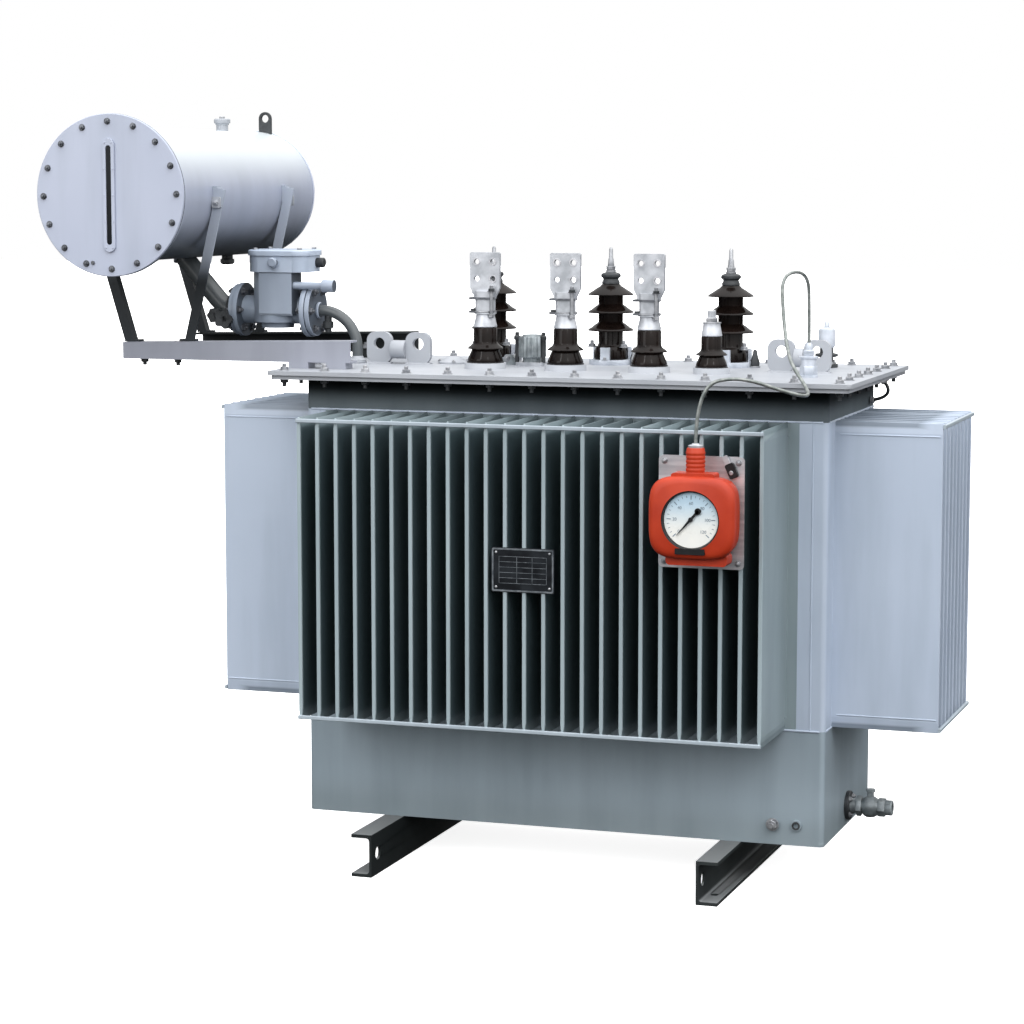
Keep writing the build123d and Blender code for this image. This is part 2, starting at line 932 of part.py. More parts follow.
def leg(foot_x, hand, y):
    foot_centre = foot_x - hand * leg_foot_inset
    foot_z = beam_top_at(foot_centre + leg_foot_length / 2) + leg_foot_thick
    top_x = drum_x + hand * (drum_radius + leg_seat_gap + leg_width / 2)
    run = Vector(top_x - foot_x, 0, drum_z - foot_z)
    base = Plane(origin=(foot_x, y, foot_z), x_dir=(0, 1, 0), z_dir=run)
    section = angle_section(base, hand)
    length = run.length + leg_top_rise
    with BuildPart() as bar:
        extrude(section, amount=length)
        extrude(section, amount=-leg_width)
        with Locations((foot_x, y, foot_z)):
            Box(
                length,
                2 * leg_width,
                length,
                align=(Align.CENTER, Align.CENTER, Align.MAX),
                mode=Mode.SUBTRACT,
            )
        with Locations((foot_centre, y, foot_z)):
            Box(
                leg_foot_length,
                leg_width,
                leg_foot_thick,
                align=(Align.CENTER, Align.CENTER, Align.MAX),
            )
        with Locations((drum_x + hand * drum_radius, y, drum_z)):
            Box(2 * (leg_seat_gap + leg_thick), leg_width, tab_height)
    return against_drum(bar.part)


for side, label in ((-1, "leg_frame_front"), (1, "leg_frame_back")):
    with BuildPart() as frame:
        add(leg(leg_foot_left, -1, side * leg_y))
        add(leg(leg_foot_right, 1, side * leg_y))
    save(label, frame.part)


# Gas relay: flanged body, bowl beneath and a terminal head on top.
along = Plane(origin=(0, 0, relay_z), x_dir=(0, 1, 0), z_dir=(1, 0, 0))


def disc_along_x(radius, start, end, y=0.0, z=relay_z):
    with BuildPart() as disc:
        with BuildSketch(Plane(origin=(start, y, z), x_dir=(0, 1, 0), z_dir=(1, 0, 0))):
            Circle(radius)
        extrude(amount=end - start)
    return disc.part


relay_left = relay_x - relay_half_length
relay_right = relay_x + relay_half_length
with BuildPart() as relay_body:
    add(disc_along_x(relay_neck_radius, relay_left, relay_right))
    add(disc_along_x(relay_flange_radius, relay_left, relay_left + relay_flange_thick))
    add(disc_along_x(relay_flange_radius, relay_right - relay_flange_thick, relay_right))
    add(
        turned(
            [
                (0, relay_bowl_bottom),
                (relay_bowl_radius, relay_bowl_bottom),
                (relay_bowl_radius, relay_body_bottom),
                (relay_body_radius, relay_body_bottom),
                (relay_body_radius, relay_body_top),
                (0, relay_body_top),
            ],
            relay_x,
            0,
        )
    )
    with Locations((relay_head_x, -relay_body_radius, relay_flap_top)):
        Box(*relay_flap_size, align=(Align.CENTER, Align.CENTER, Align.MAX))
    with Locations((relay_head_x, 0, relay_flap_top)):
        Box(
            relay_flap_size[0],
            relay_body_radius,
            relay_body_top - relay_bowl_bottom - relay_neck_radius,
            align=(Align.CENTER, Align.MAX, Align.MAX),
        )
    petcock_start = relay_x + petcock_root
    add(disc_along_x(petcock_radius, petcock_start, petcock_end, petcock_y, petcock_z))
    add(
        disc_along_x(
            petcock_knob_radius,
            petcock_end,
            petcock_end + petcock_knob_length,
            petcock_y,
            petcock_z,
        )
    )
save("relay_body", relay_body.part)

with BuildPart() as relay_head:
    with BuildSketch(Plane.XY.offset(relay_body_top)):
        with Locations((relay_head_x, 0)):
            RectangleRounded(
                relay_head_size[0] - 2 * relay_head_step,
                relay_head_size[1] - 2 * relay_head_step,
                relay_head_round - relay_head_step,
            )
    extrude(amount=relay_head_size[2] - relay_head_lid)
    with BuildSketch(Plane.XY.offset(relay_body_top + relay_head_size[2] - relay_head_lid)):
        with Locations((relay_head_x, 0)):
            RectangleRounded(relay_head_size[0], relay_head_size[1], relay_head_round)
    extrude(amount=relay_head_lid)
    chamfer(edges().group_by(Axis.Z)[-1], length=relay_head_edge)
save("relay_head", relay_head.part)


def pipe_along(points, bend, radius):
    with BuildPart() as pipe:
        with BuildLine():
            path = FilletPolyline(*points, radius=bend)
        with BuildSketch(Plane(origin=path @ 0, z_dir=path % 0)):
            RegularPolygon(radius, pipe_sides)
        sweep()
    return pipe.part


tail_start = relay_right + mate_flange_thick
with BuildPart() as tail_pipe:
    add(disc_along_x(mate_flange_radius, relay_right, tail_start))
    add(
        pipe_along(
            [
                (tail_start, 0, relay_z),
                (tail_pipe_x, 0, relay_z),
                (tail_pipe_x, 0, cover_top + tail_foot_thick),
            ],
            tail_pipe_bend,
            tail_pipe_radius,
        )
    )
    with Locations((tail_pipe_x, 0, cover_top)):
        Cylinder(
            tail_foot_radius,
            tail_foot_thick,
            align=(Align.CENTER, Align.CENTER, Align.MIN),
        )
valve_right = relay_left - mate_flange_thick
valve_left = valve_right - valve_thick
with BuildPart() as feed_valve:
    add(disc_along_x(mate_flange_radius, valve_right, relay_left))
    add(disc_along_x(valve_radius, valve_left, valve_right))
    stem_x = (valve_left + valve_right) / 2
    with BuildSketch(Plane.XZ):
        with Locations((stem_x, relay_z - valve_drop)):
            Circle(min(valve_stem_radius, valve_thick / 2))
    extrude(amount=valve_stem_length)
    with BuildSketch(Plane.XZ.offset(valve_stem_length)):
        with Locations((stem_x, relay_z - valve_drop)):
            Circle(valve_wheel_radius)
    extrude(amount=valve_wheel_thick)
feed_pipe = pipe_along(
    [
        (feed_top[0], 0, feed_top[1]),
        (feed_bend_x, 0, relay_z),
        (valve_left, 0, relay_z),
    ],
    feed_bend,
    feed_pipe_radius,
)
with BuildPart() as relay_pipes:
    add(tail_pipe.part)
    add(against_drum(feed_pipe))
save("relay_pipes", relay_pipes.part)


def lifting_bracket(ear_x):
    with BuildPart() as bracket:
        with BuildSketch(Plane.XZ.offset(-bracket_y)):
            for x in ear_x:
                with Locations((x, cover_top)):
                    Rectangle(ear_width, ear_height, align=(Align.CENTER, Align.MIN))
            fillet(vertices().group_by(Axis.Z)[-1], radius=ear_width / 3)
            with Locations([(x, cover_top + ear_height - ear_hole_drop) for x in ear_x]):
                Circle(ear_hole_radius, mode=Mode.SUBTRACT)
        extrude(amount=ear_thick / 2, both=True)
        gap = ear_x[1] - ear_x[0] - ear_width
        middle = (ear_x[0] + ear_x[1]) / 2
        start = middle - gap / 2
        add(disc_along_x(cross_tube_radius, start, start + gap, bracket_y, cover_top + cross_tube_z))
    return bracket.part


with BuildPart() as lifting_brackets:
    add(lifting_bracket(bracket_left_x))
    add(lifting_bracket(bracket_right_x))
save("lifting_brackets", lifting_brackets.part)

with BuildPart() as tap_changer:
    with Locations((changer_x, changer_y, cover_top)):
        Box(
            changer_plate,
            changer_plate,
            changer_plate_thick,
            align=(Align.CENTER, Align.CENTER, Align.MIN),
        )
    low = cover_top + changer_plate_thick
    drum_low = low + changer_neck
    add(
        turned(
            [
                (0, low),
                (changer_neck_radius, low),
                (changer_neck_radius, drum_low),
                (changer_radius, drum_low),
                (changer_radius, drum_low + changer_height),
                (0, drum_low + changer_height),
            ],
            changer_x,
            changer_y,
        )
    )
inspection_dome = turned(
    [
        (0, cover_top),
        (dome_radius, cover_top),
        (dome_radius, cover_top + dome_base),
        (dome_crown, cover_top + dome_base + dome_rise),
        (0, cover_top + dome_base + dome_rise),
    ],
    dome_x,
    dome_y,
)

relief_steps = [
    (relief_base_radius, relief_base_thick),
    (relief_neck_radius, relief_neck_height),
    (relief_base_radius, relief_ring_thick),
    (relief_neck_radius, relief_neck_height),
    (relief_body_radius, relief_body_height),
    (relief_knob_radius, relief_knob_height),
]
pocket_steps = [
    (pocket_base_radius, pocket_base_height),
    (pocket_collar_radius, pocket_collar_height),
    (pocket_gland_radius, pocket_gland_height),
]


def stepped(steps, x, y, low):
    points = [(0, low)]
    z = low
    for radius, height in steps:
        points += [(radius, z), (radius, z + height)]
        z += height
    points.append((0, z))
    return turned(points, x, y)


with BuildPart() as cover_fittings:
    add(tap_changer.part)
    add(inspection_dome)
    add(stepped(relief_steps, relief_x, relief_y, cover_top))
    add(stepped(pocket_steps, pocket_x, pocket_y, cover_top))
save("cover_fittings", cover_fittings.part)

# Dial thermometer.
thermo_back = -front_face - thermo_plate_size[1]
thermo_rear = thermo_back - thermo_standoff
thermo_front = thermo_rear - thermo_depth
with BuildPart() as thermometer_plate:
    with BuildSketch(Plane.XZ.offset(front_face)):
        with Locations((thermo_x, thermo_plate_z)):
            RectangleRounded(thermo_plate_size[0], thermo_plate_size[2], thermo_plate_round)
    extrude(amount=thermo_plate_size[1])
save("thermometer_plate", thermometer_plate.part)

gland_y = thermo_rear - thermo_depth / 2
gland_top = thermo_z + thermo_height / 2 + thermo_gland_height + thermo_gland_tip
with BuildPart() as thermometer_housing:
    with BuildSketch(Plane.XZ.offset(-thermo_rear)):
        with Locations((thermo_x, thermo_z)):
            RectangleRounded(thermo_width, thermo_height, thermo_round)
    extrude(amount=thermo_depth)
    chamfer(faces().sort_by(Axis.Y)[0].edges(), length=thermo_edge)
    with BuildSketch(Plane.XZ.offset(-thermo_back)):
        with Locations((thermo_x, thermo_z)):
            Circle(thermo_standoff_radius)
    extrude(amount=thermo_standoff)
    add(
        stepped(
            [
                (thermo_gland_radius, thermo_gland_height + thermo_edge),
                (thermo_gland_tip_radius, thermo_gland_tip),
            ],
            thermo_x,
            gland_y,
            thermo_z + thermo_height / 2 - thermo_edge,
        )
    )
    with BuildSketch(Plane.XZ.offset(-thermo_front)):
        with Locations((thermo_x, thermo_z)):
            Circle(thermo_bezel_radius)
            Circle(thermo_bezel_radius - thermo_bezel_width, mode=Mode.SUBTRACT)
    extrude(amount=thermo_bezel_depth)
save("thermometer_housing", thermometer_housing.part)

with BuildPart() as thermometer_dial:
    with BuildSketch(Plane.XZ.offset(-thermo_front)):
        with Locations((thermo_x, thermo_z)):
            Circle(thermo_dial_radius)
    extrude(amount=thermo_dial_thick)
save("thermometer_dial", thermometer_dial.part)

# Capillary: runs joined by tangent bends, from the pocket to the thermometer.
pocket_top = cover_top + pocket_base_height + pocket_collar_height + pocket_gland_height
cover_front = -cover_width / 2
capillary_points = [
    (pocket_x, pocket_y, pocket_top + insulator_gap),
    (pocket_x, pocket_y, pocket_top + 68.7),
    (pocket_x - 2, pocket_y - 4, pocket_top + 160.7),
    (pocket_x - 43, pocket_y - 93, pocket_top + 158.7),
    (pocket_x - 37, pocket_y - 98, pocket_top + 66.7),
    (pocket_x - 21, pocket_y - 126, pocket_top - 5.3),
    (pocket_x + 7, cover_front + 12, cover_top + 36.7),
    (pocket_x + 52, cover_front - 28, cover_top - 11.3),
    (pocket_x + 69, cover_front - 102, cover_top - 21.3),
    (pocket_x + 20, cover_front - 138, cover_top - 6.3),
    (thermo_x + 119, gland_y + 43, cover_top + 14.7),
    (thermo_x + 71, gland_y + 23, cover_top + 21.7),
    (thermo_x + 22, gland_y + 7, cover_top + 10.7),
    (thermo_x, gland_y, gland_top + 57),
    (thermo_x, gland_y, gland_top),
]


def bend_radii(points):
    radii = []
    for before, at, after in zip(points, points[1:], points[2:]):
        run_in = Vector(*at) - Vector(*before)
        run_out = Vector(*after) - Vector(*at)
        half_turn = radians(run_in.get_angle(run_out)) / 2
        radii.append(capillary_share * min(run_in.length, run_out.length) / tan(half_turn))
    return radii


capillary_radii = bend_radii(capillary_points)
with BuildPart() as capillary:
    with BuildLine() as capillary_path:
        FilletPolyline(*capillary_points, radius=capillary_radii)
    with BuildSketch(Plane(origin=capillary_points[0], z_dir=capillary_path.line % 0)):
        RegularPolygon(capillary_radius, capillary_sides, major_radius=False)
    sweep()
save("capillary", capillary.part)
capillary_length = sum(edge.length for edge in capillary_path.edges())
print("capillary radii", [round(r, 1) for r in capillary_radii])
print(
    "capillary runs",
    [
        round((Vector(*b) - Vector(*a)).length, 1)
        for a, b in zip(capillary_points, capillary_points[1:])
    ],
)
print(
    "capillary length",
    round(capillary_length, 1),
    "volume against section times length",
    round(capillary.part.volume / (pi * capillary_radius ** 2 * capillary_length), 4),
)

with BuildPart() as rating_plate:
    with BuildSketch(Plane.XZ.offset(front_face)):
        with Locations((plate_x, plate_z)):
            RectangleRounded(plate_size[0], plate_size[2], plate_round)
    extrude(amount=plate_size[1])
save("rating_plate", rating_plate.part)

# Drain valve on the right-hand end of the tank.
drain_root = tank_length / 2
with BuildPart() as drain_valve:
    add(disc_along_x(drain_flange_radius, drain_root, drain_root + drain_flange_thick, 0, drain_z))
    add(disc_along_x(drain_pipe_radius, drain_root, drain_root + drain_body_start, 0, drain_z))
    body_end = drain_root + drain_body_start + drain_body_length
    add(
        disc_along_x(
            drain_body_radius,
            drain_root + drain_body_start,
            body_end,
            0,
            drain_z,
        )
    )
    add(disc_along_x(drain_plug_radius, body_end, drain_root + drain_length, 0, drain_z))
    with BuildSketch(
        Plane(origin=(drain_root + drain_length, 0, drain_z), x_dir=(0, 1, 0), z_dir=(1, 0, 0))
    ):
        Circle(drain_bore)
    extrude(amount=-drain_bore_depth, mode=Mode.SUBTRACT)
with BuildPart() as oil_valves:
    add(feed_valve.part)
    add(drain_valve.part)
save("oil_valves", oil_valves.part)
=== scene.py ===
import json
import random
from math import cos, pi, radians, sin

import bmesh
import bpy
from mathutils import Matrix, Vector


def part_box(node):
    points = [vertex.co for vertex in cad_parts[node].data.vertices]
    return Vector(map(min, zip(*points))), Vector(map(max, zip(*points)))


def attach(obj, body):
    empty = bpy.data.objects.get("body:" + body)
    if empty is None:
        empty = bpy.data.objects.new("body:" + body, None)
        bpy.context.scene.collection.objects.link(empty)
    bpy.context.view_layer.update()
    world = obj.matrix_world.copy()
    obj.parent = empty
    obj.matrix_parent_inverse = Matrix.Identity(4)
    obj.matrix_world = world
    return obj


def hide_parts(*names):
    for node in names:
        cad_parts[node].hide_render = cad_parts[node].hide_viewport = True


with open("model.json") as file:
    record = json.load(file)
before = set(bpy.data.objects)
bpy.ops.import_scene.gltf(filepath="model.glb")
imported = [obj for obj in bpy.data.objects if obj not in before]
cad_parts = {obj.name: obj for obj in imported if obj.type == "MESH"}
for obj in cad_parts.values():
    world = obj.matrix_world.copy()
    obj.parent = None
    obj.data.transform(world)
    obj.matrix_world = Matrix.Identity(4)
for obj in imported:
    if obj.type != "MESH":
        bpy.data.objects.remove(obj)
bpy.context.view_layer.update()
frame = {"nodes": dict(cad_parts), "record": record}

# Sizes are in millimetres, in the frame's own axes; they turn into metres when a piece is made.
METRE = 1000.0
scene = bpy.context.scene
rng = random.Random(11)
X = Vector((1, 0, 0))
Y = Vector((0, 1, 0))
Z = Vector((0, 0, 1))


def node_box(node):
    low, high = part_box(node)
    return Vector(low) * METRE, Vector(high) * METRE


def mount(name):
    """The place of one of the record's mounts."""
    return next(Vector(m["pos_m"]) * METRE for m in frame["record"]["mounts"] if m["name"] == name)


def metres(values):
    return [value / METRE for value in values]


# Places read from the frame.
rim_low, rim_high = node_box("tank_rim")
fins_low, fins_high = node_box("fin_wall_front")
side_high = node_box("fin_wall_right")[1]
skirt_low, skirt_high = node_box("tank_skirt")
tank_low, tank_high = node_box("tank_collar")
drum_low, drum_high = node_box("conservator_shell")
ends_low, ends_high = node_box("conservator_ends")
gauge_low, gauge_high = node_box("level_gauge_frame")
plate_low, plate_high = node_box("rating_plate")
backing_low, backing_high = node_box("thermometer_plate")
case_low, case_high = node_box("thermometer_housing")
dial_low, dial_high = node_box("thermometer_dial")
relay_low = node_box("relay_body")[0]
head_low, head_high = node_box("relay_head")
pipes_high = node_box("relay_pipes")[1]
beam_low = node_box("beam_front")[0]
cover_thick = 10.0
cover_top = rim_high.z + cover_thick
drum_x = (drum_low.x + drum_high.x) / 2
drum_z = (drum_low.z + drum_high.z) / 2
drum_flange = (drum_high.x - drum_low.x) / 2
drum_radius = 156.0
dial_x = (dial_low.x + dial_high.x) / 2
dial_z = (dial_low.z + dial_high.z) / 2
palms = [mount("lv_palm_" + letter) for letter in "abc"]
neutral = mount("neutral_stud")
hv_studs = [mount("hv_stud_" + letter) for letter in "abc"]
front_fin_half = 544.5
side_fin_half = 184.5

# Camera, as worked out from the photograph.
photo_width = 1024
focal_pixels = 2884.28
camera_place = (2001.2, -6509.3, 1618.2)
camera_pitch = -6.764
camera_yaw = 18.686


def make_camera():
    data = bpy.data.cameras.new("camera")
    data.sensor_width = 36.0
    data.lens = focal_pixels / photo_width * data.sensor_width
    data.clip_end = 100.0
    camera = bpy.data.objects.new("camera", data)
    scene.collection.objects.link(camera)
    camera.location = metres(camera_place)
    camera.rotation_euler = (radians(90 + camera_pitch), 0, radians(camera_yaw))
    scene.camera = camera


# Shaders.
class Graph:
    """The nodes of a material or of the world; what goes into a node is a socket or a plain value."""

    def __init__(self, owner, shader="Principled BSDF"):
        owner.use_nodes = True
        self.nodes = owner.node_tree.nodes
        self.links = owner.node_tree.links
        self.shader = self.nodes[shader]

    def put(self, socket, value):
        if isinstance(value, bpy.types.NodeSocket):
            self.links.new(value, socket)
        else:
            socket.default_value = value

    def set(self, **values):
        """Sets the shader's inputs; an underscore in a name stands for a space."""
        for name, value in values.items():
            self.put(self.shader.inputs[name.replace("_", " ")], value)

    def add(self, kind, inputs, output=0, **settings):
        """Adds a node and gives one of its outputs."""
        node = self.nodes.new(kind)
        for name, value in settings.items():
            setattr(node, name, value)
        for key, value in inputs.items():
            self.put(node.inputs[key], value)
        return node.outputs[output]

    def maths(self, operation, *values, **settings):
        return self.add("ShaderNodeMath", dict(enumerate(values)), operation=operation, **settings)

    def place(self):
        return self.add("ShaderNodeTexCoord", {}, "Object")

    def coordinate(self, axis, centre=0.0, folded=False):
        """The object coordinate along an axis from centre, in metres, without its sign where folded."""
        part = self.add("ShaderNodeSeparateXYZ", {"Vector": self.place()}, axis)
        shift = self.maths("SUBTRACT", part, centre / METRE)
        return self.maths("ABSOLUTE", shift) if folded else shift

    def noise(self, scale, detail, stretch=(1, 1, 1)):
        mapped = self.add("ShaderNodeMapping", {"Scale": stretch, "Vector": self.place()})
        inputs = {"Scale": scale, "Detail": detail, "Vector": mapped}
        return self.add("ShaderNodeTexNoise", inputs, "Fac")

    def ramp(self, value, low, high, low_at=0.35, high_at=0.65):
        node = self.nodes.new("ShaderNodeValToRGB")
        for element, at, colour in zip(node.color_ramp.elements, (low_at, high_at), (low, high)):
            element.position = at
            element.color = (*colour, 1)
        self.links.new(value, node.inputs["Fac"])
        return node.outputs["Color"]

    def between(self, value, low, high, first=0.0, last=1.0):
        """Runs smoothly from first at low to last at high; low and high in millimetres."""
        ends = {"From Min": low / METRE, "From Max": high / METRE, "To Min": first, "To Max": last}
        return self.add("ShaderNodeMapRange", {"Value": value, **ends}, interpolation_type="SMOOTHSTEP")

    def blend(self, mode, factor, first, second):
        """Mixes two colours."""
        inputs = {0: factor, 6: first, 7: second}
        return self.add("ShaderNodeMix", inputs, 2, data_type="RGBA", blend_type=mode)

    def roughen(self, scale, detail, low, high):
        inputs = {"Value": self.noise(scale, detail), "To Min": low, "To Max": high}
        self.set(Roughness=self.add("ShaderNodeMapRange", inputs))

    def emboss(self, scale, detail, strength, distance):
        inputs = {"Strength": strength, "Distance": distance / METRE, "Height": self.noise(scale, detail)}
        self.set(Normal=self.add("ShaderNodeBump", inputs))


# Studio: an even sky above a dark ground, brightest overhead, soft lights in front and a white floor.
sky_towards = (0.28, -0.27, 0.92)
sky_glow = 2.7
sky_even = 0.85
ground_dim = 0.03
horizon = (-40, 120)
floor_half = 40000
floor_thick = 12
floor_glow = 0.85
# Each light's place, target, size and power.
lights = {
    "front_left": ((-3000, -5200, 2600), (-400, 0, 700), (2600, 2600), 52),
    "left_strip": ((-1500, -4700, 4300), (0, 0, 1200), (350, 1500), 22),
    "right_strip": ((3100, -4400, 4300), (200, 0, 1200), (300, 1400), 16),
}


def make_light(name, place, target, size, power):
    data = bpy.data.lights.new(name, "AREA")
    data.shape = "RECTANGLE"
    data.size, data.size_y = metres(size)
    data.energy = power
    light = bpy.data.objects.new(name, data)
    scene.collection.objects.link(light)
    light.location = metres(place)
    light.rotation_euler = (Vector(target) - Vector(place)).to_track_quat("-Z", "Y").to_euler()


def make_sky():
    world = bpy.data.worlds.new("studio")
    scene.world = world
    graph = Graph(world, "Background")
    way = graph.add("ShaderNodeTexCoord", {}, "Generated")
    height = graph.add("ShaderNodeSeparateXYZ", {"Vector": way}, "Z")
    even = graph.between(height, *horizon, ground_dim, sky_even)
    lean = graph.add("ShaderNodeVectorMath", {0: way, 1: sky_towards}, "Value", operation="DOT_PRODUCT")
    lobe = graph.add("ShaderNodeMapRange", {"Value": lean})
    glow = graph.maths("MULTIPLY_ADD", graph.maths("MULTIPLY", lobe, lobe), sky_glow, even)
    seen = graph.add("ShaderNodeLightPath", {}, "Is Camera Ray")
    white = graph.add("ShaderNodeMix", {"Factor": seen, "A": glow, "B": 1.0})
    graph.set(Color=(1, 1, 1, 1), Strength=white)


def make_studio():
    make_sky()
    for name, settings in lights.items():
        make_light(name, *settings)
    scene.view_settings.view_transform = "Standard"
    shape = Shape()
    corners = [(x * floor_half, y * floor_half) for x, y in ((-1, -1), (1, -1), (1, 1), (-1, 1))]
    shape.plate(corners, (0, 0, -floor_thick), X, Y, floor_thick, "floor")
    floor = shape.make("studio_floor", ride=False)
    floor.visible_diffuse = False
    floor.visible_glossy = False


# Materials.
def surface(
    name, tint, shade, rough, metal=0.0, mottle=6.0, grain=320.0, bump=0.12, depth=0.4,
    coat=0.0, stretch=(1, 1, 1), gloss=0.5,
):
    """A painted, cast, glazed or plated surface: two tones in soft patches, uneven gloss and a fine grain."""
    material = bpy.data.materials.new(name)
    graph = Graph(material)
    graph.set(
        Base_Color=graph.ramp(graph.noise(mottle, 5.0, stretch), shade, tint),
        Metallic=metal, Specular_IOR_Level=gloss, Coat_Weight=coat, Coat_Roughness=0.12,
    )
    graph.roughen(mottle * 2.3, 3.0, rough * 0.85, rough * 1.2)
    graph.emboss(grain, 2.0, bump, depth)
    return material


def glowing(material):
    Graph(material).set(Emission_Color=(1, 1, 1, 1), Emission_Strength=floor_glow)
    return material


def spray(graph, tint, shade, rough, coat=0.15, gloss=0.5):
    """Sprayed paint: faint patches, thin upright streaks, uneven gloss and a slight orange-peel grain."""
    tone = graph.ramp(graph.noise(2.6, 6.0), shade, tint)
    streaks = graph.noise(15.0, 5.0, (1, 1, 0.10))
    streak_tone = graph.ramp(streaks, (0.84, 0.85, 0.85), (1, 1, 1), 0.30, 0.58)
    graph.roughen(9.0, 4.0, rough * 0.82, rough * 1.25)
    graph.emboss(260.0, 2.0, 0.10, 0.5)
    graph.set(Specular_IOR_Level=gloss, Coat_Weight=coat, Coat_Roughness=0.22)
    return graph.blend("MULTIPLY", 0.8, tone, streak_tone)


def paint(name, tint, shade, rough=0.42, darkening=None, coat=0.15, gloss=0.5):
    """Sprayed paint, darkened between two heights: the height where the darkening starts, the height where it
    is full and the colour that it is multiplied by. On several parts this darkening is painted shade.
    """
    material = bpy.data.materials.new(name)
    graph = Graph(material)
    colour = spray(graph, tint, shade, rough, coat, gloss)
    if darkening:
        untouched, darkest, dark_tone = darkening
        share = graph.between(graph.coordinate("Z"), untouched, darkest)
        patchy = graph.maths("MULTIPLY_ADD", graph.noise(7.0, 5.0), 0.30, share, use_clamp=True)
        faded = graph.maths("MULTIPLY", patchy, share)
        colour = graph.blend("MULTIPLY", faded, colour, (*dark_tone, 1))
    graph.set(Base_Color=colour)
    return material


def fin_paint(name, tint, shade, dark_tone, depth_axis, tip, row_axis, row_centre, row_half, dark, outer_unshaded):
    """Paint on corrugated walls, with painted shade: the channels between the fins are darkened where shade
    falls, and the tips, the outer faces and the fins' ends keep more of the plain colour.

    The painted shade starts and is full at the two distances behind the tips that dark gives.
    """
    material = bpy.data.materials.new(name)
    graph = Graph(material)
    colour = spray(graph, tint, shade, 0.42)
    reach = graph.coordinate(depth_axis, folded=True)
    row = graph.coordinate(row_axis, row_centre, folded=True)
    height = graph.coordinate("Z", (fins_low.z + fins_high.z) / 2, folded=True)
    half = (fins_high.z - fins_low.z) / 2
    at_tip = graph.between(reach, tip - dark[1], tip - dark[0])
    outer = graph.between(row, row_half - 2.5, row_half - 1.0, 0.0, outer_unshaded)
    ends = graph.between(height, half - 34, half - 2, 0.0, 0.45)
    untouched = graph.maths("MAXIMUM", graph.maths("MAXIMUM", at_tip, outer), ends)
    # Painted shade in the channels between the fins.
    painted_shade = graph.blend("MULTIPLY", 1.0, colour, (*dark_tone, 1))
    graph.set(Base_Color=graph.blend("MIX", untouched, painted_shade, colour))
    return material


def overlay(material, mode, axis, folded, low, high, tone):
    """Changes a paint where its face's normal along an axis is between low and high."""
    graph = Graph(material)
    colour = graph.shader.inputs["Base Color"].links[0].from_socket
    facing = graph.add("ShaderNodeNewGeometry", {}, "Normal")
    part = graph.add("ShaderNodeSeparateXYZ", {"Vector": facing}, axis)
    if folded:
        part = graph.maths("ABSOLUTE", part)
    share = graph.between(part, low * METRE, high * METRE)
    graph.set(Base_Color=graph.blend(mode, share, colour, (*tone, 1)))
    return material


def dusty(material, lit_tone, low, high):
    """Paints light on the faces that look up: a paler colour stands in for the light from above."""
    return overlay(material, "MIX", "Z", False, low, high, lit_tone)


def sooted_sides(material, axis, dark_tone):
    """Paints shade on the faces that look along an axis, such as the faces of flanges: a darker colour stands
    in for the shade there.
    """
    return overlay(material, "MULTIPLY", axis, True, 0.72, 0.97, dark_tone)


def dial_paint(name):
    """An enamelled dial, a little bluer towards its top: the blue is a painted reflection of the sky."""
    material = bpy.data.materials.new(name)
    graph = Graph(material)
    share = graph.between(graph.coordinate("Z", dial_z), -35, 45)
    colour = graph.blend("MIX", share, (0.84, 0.84, 0.80, 1), (0.48, 0.64, 0.76, 1))
    spots = graph.ramp(graph.noise(40.0, 3.0), (0.95, 0.96, 0.97), (1, 1, 1))
    graph.roughen(30.0, 2.0, 0.22, 0.34)
    graph.emboss(300.0, 2.0, 0.05, 0.2)
    graph.set(
        Base_Color=graph.blend("MULTIPLY", 1.0, colour, spots), Coat_Weight=0.4, Coat_Roughness=0.08
    )
    return material


